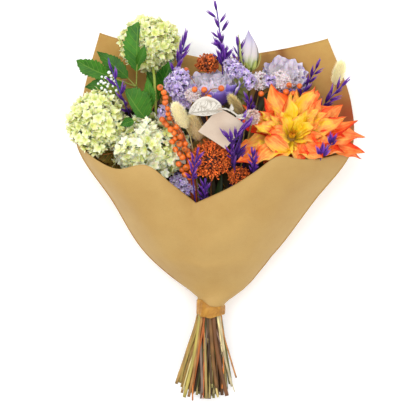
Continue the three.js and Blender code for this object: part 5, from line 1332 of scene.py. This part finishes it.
def bunnyTail(name, seed, across, half, colour):
    rng = seeded(seed)
    bag = stemBag(name, 0, 6)
    n = tailHairs["count"]
    out = ballDirections(rng, n, -1.0, 0.03)
    roots = out * [across, across, half] * 0.96
    lean = unit(out / [across, across, half]) + [0, 0, tailHairs["lean"]] + 0.22 * rng.standard_normal((n, 3))
    reach = between(tailHairs["length"], rng.random(n))[:, None, None] * arr([0, 0.5, 1])[None, :, None]
    paths = roots[:, None] + unit(lean)[:, None] * reach + out[:, None] * 0.06 * reach**1.3
    # the hairs are painted brighter than the tail's colour, past full white, to lift the shade among them, and darker
    # towards the tail's foot as painted shade
    light = (1.16 + 0.24 * rng.random(n))[:, None] * rgb(*colour)
    rise = np.clip((roots[:, 2:] / half + 1) / 2, 0, 1)
    light = light * (0.8 + 0.2 * rise) * [1, 0.98, 0.92]
    addTubes(bag, inBloom(name, paths), arr(tailHairs["radii"]), 3, 0, np.repeat(light[:, None], 3, axis=1))
    body = ballProfile(12, across, half / across)
    addDrops(bag, body, bloomFrame(name), blooms[name][0], sides=16, tint=rgb(*colour) * 0.82)
    makePiece(bag, camelName(name), "bunny", name)


for seed, name in enumerate(bunnyTails):
    bunnyTail(name, seed + 51, *bunnyTails[name])
print("bunny tails made")


# Berries: round, with a small dark eye, each on a short stalk that turns round the twig

twigs = {
    "berries_left": {"seed": 4, "strands": 7, "places": [
        (-63.8, 80.2, 131), (-58.7, 73.5, 132), (-56.9, 60.1, 133), (-53.5, 52.1, 134), (-60.9, 37.6, 132),
        (-55.1, 30.3, 133), (-49.8, 24.4, 133), (-45.1, 19.6, 134), (-36.9, 14.9, 132), (-47.9, 8.1, 128),
        (-37.8, 5.1, 130), (-43.5, -2, 124), (-31.1, -1.5, 128), (-24.9, -9.1, 124), (-33.9, -12.2, 122),
        (-23.8, -18, 120), (-29.4, -25.7, 116), (-31.1, -35.2, 110), (-22, -31.2, 112), (-39.3, -21.2, 118),
        (-51.2, 39.8, 128), (-42.6, 27.8, 128), (-56.5, 66.5, 130), (-53, 45.5, 131), (-44, 12.5, 126),
        (-30.5, 5.5, 124), (-26.5, -24.5, 113), (-37.5, -7.5, 121), (-20, -12, 118), (-35, -28.5, 111),
        (-25, -39, 104), (-57.5, 33, 127), (-17.5, -24.5, 112), (-27.5, -4, 121)]},
    "berries_middle": {"seed": 5, "strands": 0, "places": [
        (-5, 77.1, 132), (17.6, 79.2, 130), (-17.8, 77.9, 128), (-29.7, 106.1, 96), (1.3, 67.9, 126)]},
    "berries_right": {"seed": 6, "strands": 0, "places": [
        (71.6, 74.2, 92), (109.4, 86.1, 92), (123.8, 84.9, 90), (115.5, 75, 88), (105.6, 77, 86)]},
}
berry = {"size": 8.2, "rows": 13, "eye": [(0.97, 0.15), (1.03, 0.09), (1.02, 0)], "stalk": 0.55, "strand": 0.9}


def berryTwig(name, seed, places, strands):
    rng = seeded(seed)
    places = arr(places)
    n = len(places)
    twig = stemLines[name][aboveBinding:]
    line = curveAtLength(twig, 200)
    away = np.linalg.norm(line[None] - places[:, None] + (0, 9, 0), axis=-1)
    feet = line[np.argmin(away, axis=1)]
    sizes = berry["size"] * (0.88 + 0.2 * rng.random(n)) / 2
    bag = stemBag(name, 1, 6)
    middle = (feet + places) / 2 + [0, 0, -1.2] + 0.6 * rng.standard_normal((n, 3))
    t = steps(6)[None, :, None]
    stalks = feet[:, None] * (1 - t) ** 2 + 2 * t * (1 - t) * middle[:, None] + t * t * places[:, None]
    addTubes(bag, stalks, berry["stalk"], 5, 1, rgb(158, 92, 42))
    for strand in range(strands):  # thin shoots that run along the twig
        along = curveAtLength(twig, steps(24, 0, 0.55 + 0.3 * rng.random()))
        drift = np.sin(steps(24, 0, 4 + 3 * rng.random())[:, None] + rng.random(3) * 6) * [4.2, 2.52, 2.1]
        addTubes(bag, along + drift + [0, 0, 2], berry["strand"], 5, 1, rgb(176, 78, 30) * (0.7 + 0.6 * rng.random()))
    profile = ballProfile(berry["rows"])
    profile[-3:] = berry["eye"]
    height = steps(berry["rows"])[:, None]
    skin = rgb(250, 118, 34) * (0.75 + 0.25 * height) + arr([0.05, 0.07, 0.01]) * smooth(height, 0.6, 0.86)
    skin[-3:] = rgb(150, 74, 34)
    warm = (0.72 + 0.4 * rng.random(n))[:, None, None, None]
    facing = unit(places - feet) + [0, -0.4, 0] + 0.6 * rng.standard_normal((n, 3))
    addDrops(bag, profile, framesAlong(facing), places, sizes, 14, 0, skin[None, :, None] * warm)
    makePiece(bag, camelName(name), "berry stem", name)


for name in twigs:
    berryTwig(name, **twigs[name])
print("berries made")


# Rust-coloured heads: many short curled bristles that end in small knobs, over a dark body.
# The body's dark colour is painted shade, and each bristle is painted darker towards its root.

rustHeads = {
    "rust_middle": {"radii": (26, 25, 21), "bristles": 620, "length": (6, 12), "thick": 0.6, "light": 1.0,
        "floor": -0.35},
    "rust_low": {"radii": (13.5, 12.5, 11.5), "bristles": 260, "length": (4, 8), "thick": 0.55, "light": 1.0,
        "floor": -0.4},
    "rust_top": {"radii": (14, 12, 12.5), "bristles": 200, "length": (3, 5.5), "thick": 0.9, "light": 0.6,
        "floor": -0.5},
}
bristleCurl = 2.4


def rustHead(name, radii, bristles, length, thick, light, floor):
    rng = seeded(int(radii[0] * 3))
    n = bristles
    column = lambda v: v[:, None, None]
    out = ballDirections(rng, n, floor, 0.07)
    lumps = 1 + 0.08 * np.sin(7 * out[:, :1] + 1) * np.sin(6 * out[:, 1:2]) + 0.09 * rng.standard_normal((n, 1))
    tips = out * radii * lumps
    reach = column(between(length, rng.random(n)))
    t = steps(6)[None, :, None]
    side = unit(np.cross(out, rng.standard_normal((n, 3))))[:, None]
    bend = bristleCurl * column(0.4 + 0.8 * rng.random(n))
    other = np.cross(out[:, None], side)
    paths = tips[:, None] + out[:, None] * reach * (t - 1) + side * bend * np.sin(t * 4.2)
    paths = paths + other * bend * 0.7 * (1 - np.cos(t * 3.1)) / 2
    shade = light * column(0.55 + 1.5 * rng.random(n) ** 1.5) * (0.3 + 0.7 * t)
    warm = rgb(238, 112, 40) * (1 - column(rng.random(n)) * 0.35)
    warm = warm + arr([0.03, 0.03, 0.005]) * column(rng.random(n) > 0.7)
    bag = stemBag(name, 0, 6)
    paths = inBloom(name, paths)
    addTubes(bag, paths, thick * (0.62 + 0.2 * t[:, :, 0]), 5, 0, warm * shade)
    knob = warm[:, :, None] * light * (0.7 + 1.5 * rng.random(n) ** 1.5)[:, None, None, None]
    sizes = thick * (1.25 + 0.5 * rng.random(n))
    addDrops(bag, ballProfile(5, 1.0, 1.2), framesAlong(paths[:, -1] - paths[:, -2]), paths[:, -1], sizes, 6, 0, knob)
    body = ballProfile(10) * 0.72 * (radii[2], (radii[0] + radii[1]) / 2)
    # the body's dark colour is painted shade under the bristles
    addDrops(bag, body, bloomFrame(name), blooms[name][0], sides=16, tint=rgb(58, 22, 10))
    makePiece(bag, camelName(name), "rust", name)


for name in rustHeads:
    rustHead(name, **rustHeads[name])
print("rust heads made")


# Purple oats: spikelets on fine stalks on both sides of each spray. A spikelet is two long husks that open
# like a beak, with two shorter ones and a bristle between them.

oats = {
    "oat_left": {"spikelets": 12, "length": 22}, "oat_upper_left": {"spikelets": 9, "length": 22},
    "oat_top": {"spikelets": 11, "length": 19, "open": 1.5}, "oat_by_bud": {"spikelets": 8, "length": 18},
    "oat_upper_right": {"spikelets": 8, "length": 20}, "oat_right": {"spikelets": 11, "length": 21},
    "oat_middle": {"spikelets": 15, "length": 18, "up": 0.6}, "oat_inner": {"spikelets": 13, "length": 18, "up": 0.3},
    "oat_low": {"spikelets": 12, "length": 17}, "oat_bottom": {"spikelets": 11, "length": 17},
    "oat_low_right": {"spikelets": 12, "length": 16, "up": 0.2},
}
spikelet = {"husk": 0.15, "gape": 0.13, "cup": 0.34}  # the husk's width is for each millimetre of its length
husks = [(0, 1.0, 1.0, 1.0), (math.pi, 0.94, 1.0, 1.0), (0.5 * math.pi, 0.72, 0.8, 0.5),
        (1.5 * math.pi, 0.66, 0.8, 0.6)]  # turn about the spikelet's own line, length, width and gape

# More spikelets on branches of their own: the start and the tip of each one
moreOats = {
    "oat_middle": {"deep": True, "spikelets": [
        ((27.6, 11.5, 156), (16.4, 24.9, 165)), ((30.9, 9.5, 156), (29.5, 23.5, 167)),
        ((36.2, 12, 158), (36.7, 26.1, 168)), ((40.7, 18.5, 161), (52.4, 33.9, 168)),
        ((45.9, 23.1, 162), (58.3, 37.9, 168)), ((43.3, 34.2, 163), (51.7, 48.2, 170)),
        ((51.2, 25.8, 160), (59.6, 41.2, 166)), ((38.1, 14.6, 159), (47.1, 26.1, 168)),
        ((33, 5.8, 150), (24.3, 13.3, 160)), ((37.2, -10.9, 132), (53, 3.4, 141)),
        ((38.5, -13.6, 132), (51.7, -3.8, 139)), ((32, -24, 124), (37.2, -5.7, 135)),
        ((35.9, -10.8, 130), (43.7, 7.4, 140)), ((38.6, -20.1, 126), (47.8, -8.3, 135)),
        ((31.9, -12.1, 128), (33.1, 3.5, 138))],
        "branch": [(34.7, -26.6, 122), (34.6, -8.2, 132), (40.9, 9.7, 150), (44.7, 21.2, 160), (51.2, 30.3, 162)]},
    "oat_top": {"spikelets": [
        ((19, 132.2, 74), (15, 149, 78)), ((20.4, 124, 74), (26.8, 141, 79)), ((19, 121.3, 73), (11.2, 136.5, 77)),
        ((20.8, 117, 74), (21.8, 138.6, 80)), ((21.5, 122, 74), (35, 137.2, 77)), ((22.1, 112, 74), (29.6, 130, 78)),
        ((17.7, 140.3, 75), (3.4, 145.8, 77)), ((17.7, 146, 75), (13.6, 163.4, 79)),
        ((19.5, 113, 73), (13.6, 129.1, 77)), ((21.8, 108, 73), (33.6, 120.6, 76)),
        ((19.2, 128, 74), (21.5, 146, 79)), ((18.5, 134, 74), (8.5, 152, 77))],
        "branch": [(20, 104, 64), (19.5, 128, 71), (17.5, 142, 73), (16.5, 156, 74)]},
    "oatOnDahlia": {"spikelets": [
        ((150.7, -12, 124), (154, 8.3, 134)), ((153.3, -10.7, 124), (163.6, -2.9, 130)),
        ((150.7, -10.7, 124), (144.2, 3.1, 132)), ((154.5, -9.4, 126), (160, 3.7, 134)),
        ((149.4, -12, 122), (145.1, -4.1, 128)), ((163.7, 6.5, 128), (172, 18.9, 134)),
        ((163.1, 6.5, 128), (163.9, 21.5, 136)), ((162.5, 5.3, 126), (160, 15.6, 134)),
        ((165.2, 3.9, 126), (171.5, 10.4, 131))],
        "branch": [(16.4, -202, 40), (60, -120, 70), (147.6, -26.3, 108), (150.9, -13.2, 120), (155.9, -4.1, 126),
        (163.8, 5.2, 127)]},
}


def oatSpray(name, seed, spikelets, length, open=1.0, up=0.0):
    rng = seeded(seed)
    line = stemLines[name][aboveBinding + 1:]
    run = np.linalg.norm(np.diff(curveAt(line, 60), axis=0), axis=1).sum()
    share = (1 - 0.8 * length / run) * ((np.arange(spikelets) + 0.6) / spikelets) ** 0.9
    feet = curveAtLength(line, share)
    along = unit(curveAtLength(line, np.minimum(1, share + 0.03)) - curveAtLength(line, np.maximum(0, share - 0.03)))
    side = unit(np.cross([0, 0, 1], along))
    out = np.where(np.arange(spikelets) % 2, 1, -1) * (0.18 + 0.5 * rng.random(spikelets)) * open
    out[-1] = 0.06
    lean = along + side * out[:, None]
    lean[:, 2] += 0.5 * rng.random(spikelets) - 0.12 + up
    lean = unit(lean)
    starts = feet + lean * (1.5 + 2.5 * rng.random(spikelets) * open)[:, None]
    bag = stemBag(name, 1, 6)
    addStalks(bag, feet, starts, 0.32)
    addSpikelets(bag, rng, starts, lean, side, length * (0.72 + 0.34 * rng.random(spikelets)))
    if name in moreOats:
        addBranch(bag, rng, **moreOats[name])
    makePiece(bag, camelName(name), "oat stem", name)


def addStalks(bag, feet, ends, radius):
    paths = np.stack([feet, (feet + ends) / 2 + (0, 0, 0.3), ends], axis=1)
    addTubes(bag, paths, radius, 4, 1, rgb(84, 48, 140))


def addBranch(bag, rng, branch, spikelets, deep=False):
    path = curveAt(branch, 24)
    addTubes(bag, path, 0.7, 6, 1, rgb(84, 48, 140))
    starts, ends = arr(spikelets).transpose(1, 0, 2)
    feet = path[np.argmin(np.linalg.norm(path[None] - starts[:, None], axis=-1), axis=1)]
    addStalks(bag, feet, starts, 0.4)
    lean = unit(ends - starts)
    # on a deep branch, painted shade: the spikelets darker the lower they start
    light = 0.45 + 0.55 * smooth(starts[:, 2], 128, 152) if deep else 1.0
    side = unit(np.cross([0, 0, 1], lean))
    addSpikelets(bag, rng, starts, lean, side, np.linalg.norm(ends - starts, axis=1), 1.4, light)


def addSpikelets(bag, rng, starts, lean, side, sizes, broad=1.0, light=1.0):
    n = len(starts)
    frames = framesOut(lean, np.cross(side, lean))
    outline = lambda t: rounded(0.72, 0.8)(t) * (1 - 0.45 * smooth(t, 0.5, 1))
    for spin, reach, wide, gape in husks:
        rise = spikelet["gape"] * gape * (0.5 + rng.random(n))
        grids = petalGrids(sizes * reach, sizes * broad * spikelet["husk"] * wide, rise, 0.12, cup=spikelet["cup"],
                outline=outline, rows=9, columns=5)
        c, s = math.cos(spin + 0.4), math.sin(spin + 0.4)
        roll = arr([[c, 0, s], [0, 1, 0], [-s, 0, c]])
        tint = petalTints(rng, n, 0.5, 0.5) * surface(1, light, 1)
        addBlades(bag, placed(grids, frames @ roll, starts), 0.3, 0, tint)
    ends = starts + lean * sizes[:, None] * 1.12 + side * (0.4 * rng.standard_normal(n))[:, None]
    bristle = np.stack([starts, (starts + ends) / 2, ends], axis=1)
    addTubes(bag, bristle, arr([[0.35, 0.28, 0.08]]), 3, 1, rgb(92, 52, 158))


for seed, name in enumerate(oats):
    oatSpray(name, seed + 11, **oats[name])
bag = newBag()
addBranch(bag, seeded(29), **moreOats["oatOnDahlia"])
makePiece(bag, "oatOnDahlia", "oat stem")
print("oats made")


# A small umbel: rays from one hub to white buds, each with a green foot

umbel = {"rays": 20, "reach": 14, "bud": 2.3, "turn": 2.4,
        "foot": [(-1.1, 0), (-0.95, 0.35), (-0.4, 0.62), (0.1, 0.5), (0.2, 0)],
        "white": [(-0.75, 0), (-0.55, 0.6), (0, 0.95), (0.5, 0.85), (0.95, 0.4), (1.1, 0)]}


def whiteUmbel():
    rng = seeded(8)
    hub, top = arr(stemLines["white_bud_sprig"][-2:])
    n = umbel["rays"]
    out = umbel["reach"] * np.sqrt((np.arange(n) + 0.5) / n)
    turn = np.arange(n) * umbel["turn"]
    tips = top + surface(out * np.cos(turn), out * np.sin(turn), 5 - 0.3 * out) + 0.8 * rng.standard_normal((n, 3))
    bag = stemBag("white_bud_sprig", 1, 6)
    t = steps(7)[None, :, None]
    rays = hub + (tips - hub)[:, None] * t + arr([0, 0, 2.5]) * np.sin(math.pi * t)
    addTubes(bag, rays, 0.45, 5, 1, rgb(168, 184, 74))
    facing = framesAlong(tips - hub)
    sizes = umbel["bud"] * (0.75 + 0.4 * rng.random(n))
    addDrops(bag, umbel["foot"], facing, tips, sizes, 8, 1, rgb(140, 166, 70))
    addDrops(bag, umbel["white"], facing, tips, sizes, 9, 0, rgb(246, 247, 238))
    makePiece(bag, "whiteUmbel", "white stem", "white_bud_sprig")


whiteUmbel()

# Filler: small oval leaves in pairs along a sprig
filler = {"leaves": 34, "length": (6, 10), "width": 0.42}


def fillerSprig():
    rng = seeded(17)
    n = filler["leaves"]
    feet = curveAtLength(stemLines["filler_sprig"][aboveBinding + 1:], (np.arange(n) + 0.5) / n)
    out = surface(np.where(np.arange(n) % 2, 13, -13), 9 + 4 * rng.random(n), 2 + 7 * rng.random(n))
    out = unit(out + 2.5 * rng.standard_normal((n, 3)))
    length = between(filler["length"], rng.random(n))
    up = arr([0, -0.2, 1]) + 0.25 * rng.standard_normal((n, 3))
    grids = petalGrids(length, length * filler["width"], 0.15, -0.35, cup=0.14, outline=rounded(0.9, 0.7))
    light = np.repeat((0.75 + 0.35 * rng.random(n))[:, None], 3, axis=1)
    bag = stemBag("filler_sprig", 0, 6)
    addBlades(bag, placed(grids, framesOut(out, up), feet), 0.35, 1, light)
    makePiece(bag, "fillerSprig", "stem filler", "filler_sprig")


fillerSprig()
print("umbel and filler made")


# Dark leaves low in the bunch, which fill the gaps between the blooms; their very dark colours are painted shade.
# Each grows from a stem inside the sleeve and ends under the blooms. A batch has its leaves, their sizes, the shares
# of the stem that they grow from, their highest point and the range of X and Y of their tips.
lowest = 3.5
inset = 12  # how far the tips stay from the sleeve's left edge
lowLeaves = [
    {"count": 150, "length": (34, 60), "width": (9, 16), "share": (0.55, 0.91), "top": 84, "x": (-170, 132),
     "y": (-240, 96), "spread": 0.6,
     "tints": [(60, 66, 24), (70, 56, 26), (60, 34, 28), (48, 30, 60), (44, 62, 24), (80, 70, 34)],
     "stems": ["viburnum_low", "rust_middle", "statice_left", "lisianthus_left", "scabiosa_front", "dahlia",
        "oat_inner", "rust_low", "lisianthus_right", "statice_right", "berries_middle", "bunny_tail_right",
        "scabiosa_back", "viburnum_left", "viburnum_shoot", "oat_left", "berries_right", "scabiosa_right",
        "bunny_tail_left"]},
    {"count": 44, "length": (22, 38), "width": (8, 13), "share": (0.72, 0.9), "top": 104, "x": (14, 66),
     "y": (-50, 24), "spread": 0.7,
     "tints": [(46, 26, 58), (38, 22, 34), (52, 30, 24), (60, 34, 96), (34, 30, 18)],
     "stems": ["scabiosa_front", "oat_middle", "rust_low", "bunny_tail_right"]},
    {"count": 26, "length": (22, 38), "width": (8, 13), "share": (0.62, 0.8), "top": 96, "x": (-122, -92),
     "y": (24, 78), "spread": 0.7,
     "tints": [(46, 26, 58), (38, 22, 34), (34, 30, 18), (30, 44, 16)],
     "stems": ["viburnum_shoot", "oat_left", "white_bud_sprig"]},
]


def leafFits(grid, batch):
    (x, y), low, high = grid[0, -1, 0, :2], grid[..., 2].min(), grid[..., 2].max()
    edge = edgeAt(sleeve["leftEdge"], arr([1 + (y + 203) / 62]).clip(1, 6))[0, 0] + inset
    covered = batch["top"] < 90 and (y < -52 and high > 60 or x > 40 and y > -45 and high > 62)
    inside = max(edge, batch["x"][0]) < x < batch["x"][1] and batch["y"][0] < y < batch["y"][1]
    return inside and low >= lowest and high <= batch["top"] and not covered


def lowLeafPiece():
    rng = seeded(5)
    bag = newBag()
    lines = {name: curveAtLength(points, 101) for name, points in stemLines.items()}
    for batch in lowLeaves:
        made = 0
        for attempt in range(9000):
            if made == batch["count"]:
                break
            line = lines[batch["stems"][rng.integers(len(batch["stems"]))]]
            i = int(100 * rng.uniform(*batch["share"]))
            out = unit(unit(line[i + 2] - line[i]) + batch["spread"] * rng.standard_normal(3) * [1.1, 0.4, 0.35])
            up = unit(arr([0, -0.3, 1]) + 0.3 * rng.standard_normal(3))
            grid = petalGrids(rng.uniform(*batch["length"]), rng.uniform(*batch["width"]), 0.1, -0.5 * rng.random(),
                    0.4 * rng.standard_normal(), 0.14, 0.03, 1.5, rng.random() * 6, columns=5)
            grid = placed(grid, framesOut(out, up), line[i])
            if not leafFits(grid, batch):
                continue
            made += 1
            # each leaf's dark colour is painted shade
            tint = rgb(*batch["tints"][rng.integers(len(batch["tints"]))]) * (0.6 + 0.7 * rng.random())
            addBlades(bag, grid, 0.4, 0, tint)
    makePiece(bag, "lowLeaves", "stem")


lowLeafPiece()


# The plain card, slightly curled, and the leaf-shaped tag, with a thin stalk that ends in a knot

card = {"centre": (18.5, 25.5, 155.25), "along": (0.784, -0.492, -0.31), "across": (0.584, 0.664, 0.412),
        "size": (45, 46), "curl": 1.1, "paper": 0.5}
tag = {"base": (19, 47, 171), "tip": (-26, 44, 172), "paper": 0.4,
       "upper": ([0, 0.03, 0.1, 0.22, 0.4, 0.56, 0.7, 0.82, 0.93, 1], [2, 9, 13, 17, 20.5, 20, 17, 12.6, 6.5, 0]),
       "lower": ([0, 0.08, 0.2, 0.4, 0.6, 0.8, 0.93, 1], [1, 1.5, 3.2, 5.2, 5, 3.4, 1.6, 0]),
       "stalk": [(16, 50, 170), (24, 49.5, 169.4), (31, 46.5, 169), (38.5, 41, 168.4)],
       "strip": [(37, 40, 168), (46, 40, 167), (54, 46, 166)],
       "knot": [(-4, 0), (-3, 1.6), (-1, 3), (1, 2.8), (5, 1), (7.5, 0)], "knotPlace": (31, 50, 170.5)}


def cardPiece():
    u, v = np.meshgrid(steps(17, -0.5, 0.5), steps(17, -0.5, 0.5))
    along = unit(card["along"])
    normal = unit(np.cross(along, card["across"]))
    lift = card["curl"] * (4 * (u - 0.1) ** 2 - 0.4 - 1.2 * u * v)
    lift = lift + 12 * np.maximum(0, v - u - 0.5) ** 2  # its top corner rises
    local = surface(u * card["size"][0], v * card["size"][1], lift)
    bag = newBag()
    addBlades(bag, local @ arr([along, np.cross(normal, along), normal]) + card["centre"], card["paper"],
            poles=(False, False))
    makePiece(bag, "plainCard", "card", "plain_card")


# The tag's two half widths follow their outlines. It arches across and rises a little along its length.
def tagPiece():
    base, tip = arr(tag["base"]), arr(tag["tip"])
    t = steps(38)[:, None]
    w = steps(15, -1)[None, :]
    y, z = unit(tip - base), arr([0, 0, 1])
    half = np.where(w > 0, np.interp(t, *tag["upper"]), np.interp(t, *tag["lower"]))
    rise = 3 * np.sin(math.pi * t**0.8) - 2.2 * w * w * half / 20 + 0.5 * np.sin(9 * t + 2 * w)
    rise = rise - 1.2 * smooth(w, 0.5, 1)
    local = surface(half * w, t * np.linalg.norm(tip - base), rise)
    bag = newBag()
    addBlades(bag, local @ arr([np.cross(y, z), y, z]) + base, tag["paper"], poles=(False, True))
    addTubes(bag, curveAt(tag["stalk"], 14), 1.3 + 0.3 * np.sin(np.arange(14) * 2.1), 7)
    path = curveAt(tag["strip"], 12)
    side = unit(np.cross(np.gradient(path, axis=0), z))
    wide = steps(5, -1)[None, :, None] * (3.2 * np.sin(math.pi * steps(12, 0.15, 0.95)))[:, None, None]
    addBlades(bag, path[:, None] + side[:, None] * wide, tag["paper"], poles=(False, False))
    addDrops(bag, tag["knot"], framesAlong((0, 1, 0.12)), tag["knotPlace"], tint=(0.9, 0.8, 0.62))
    makePiece(bag, "leafTag", "tag", "leaf_tag")


cardPiece()
tagPiece()
print("card and tag made")


# Camera, floor and soft light. The photograph takes in 582 mm at the floor, from 2.6 m above it.
view = {"height": 2.6, "across": 0.5824, "middle": (0.0, -0.08)}
lamps = [((-0.6, 0.6, 1.9), 1.6, 19), ((1.0, -0.4, 1.8), 1.8, 8)]  # place, size, watts
lampTarget = (0, -0.05, 0.08)
room = {"floor": (0.97, 0.97, 0.97, 1), "half": 6, "glow": 0.16, "sky": 0.9}
white = (1, 1, 1, 1)


def addObject(name, data, place=(0, 0, 0)):
    made = bpy.data.objects.new(name, data)
    made.location = place
    bpy.context.scene.collection.objects.link(made)
    return made


def addStage():
    data = bpy.data.cameras.new("photoCamera")
    data.sensor_fit = "HORIZONTAL"
    data.angle = 2 * math.atan(view["across"] / 2 / view["height"])
    data.clip_end = 20
    bpy.context.scene.camera = addObject("photoCamera", data, (*view["middle"], view["height"]))
    h = room["half"]
    mesh = bpy.data.meshes.new("floor")
    mesh.from_pydata([(-h, -h, 0), (h, -h, 0), (h, h, 0), (-h, h, 0)], [], [(0, 1, 2, 3)])
    paint = bpy.data.materials.new("paleFloor")
    paint.use_nodes = True
    sockets = paint.node_tree.nodes["Principled BSDF"].inputs
    for key, value in (("Base Color", room["floor"]), ("Roughness", 0.9), ("Emission Color", white),
            ("Emission Strength", room["glow"])):
        sockets[key].default_value = value
    mesh.materials.append(paint)
    addObject("floor", mesh)
    for i, (place, size, watts) in enumerate(lamps):
        lamp = bpy.data.lights.new("softLamp" + str(i), "AREA")
        lamp.size = size
        lamp.energy = watts
        made = addObject("softLamp" + str(i), lamp, place)
        made.rotation_euler = Vector(arr(lampTarget) - place).to_track_quat("-Z", "Y").to_euler()
    world = bpy.data.worlds.new("paleRoom")
    world.use_nodes = True
    sockets = world.node_tree.nodes["Background"].inputs
    sockets["Color"].default_value = white
    sockets["Strength"].default_value = room["sky"]
    bpy.context.scene.world = world
    bpy.context.scene.view_settings.view_transform = "Standard"


addStage()

bpy.context.view_layer.update()
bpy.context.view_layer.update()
print("triangles in new pieces:", sum(counts.values()), "most in one:", max(counts, key=counts.get),
      max(counts.values()))
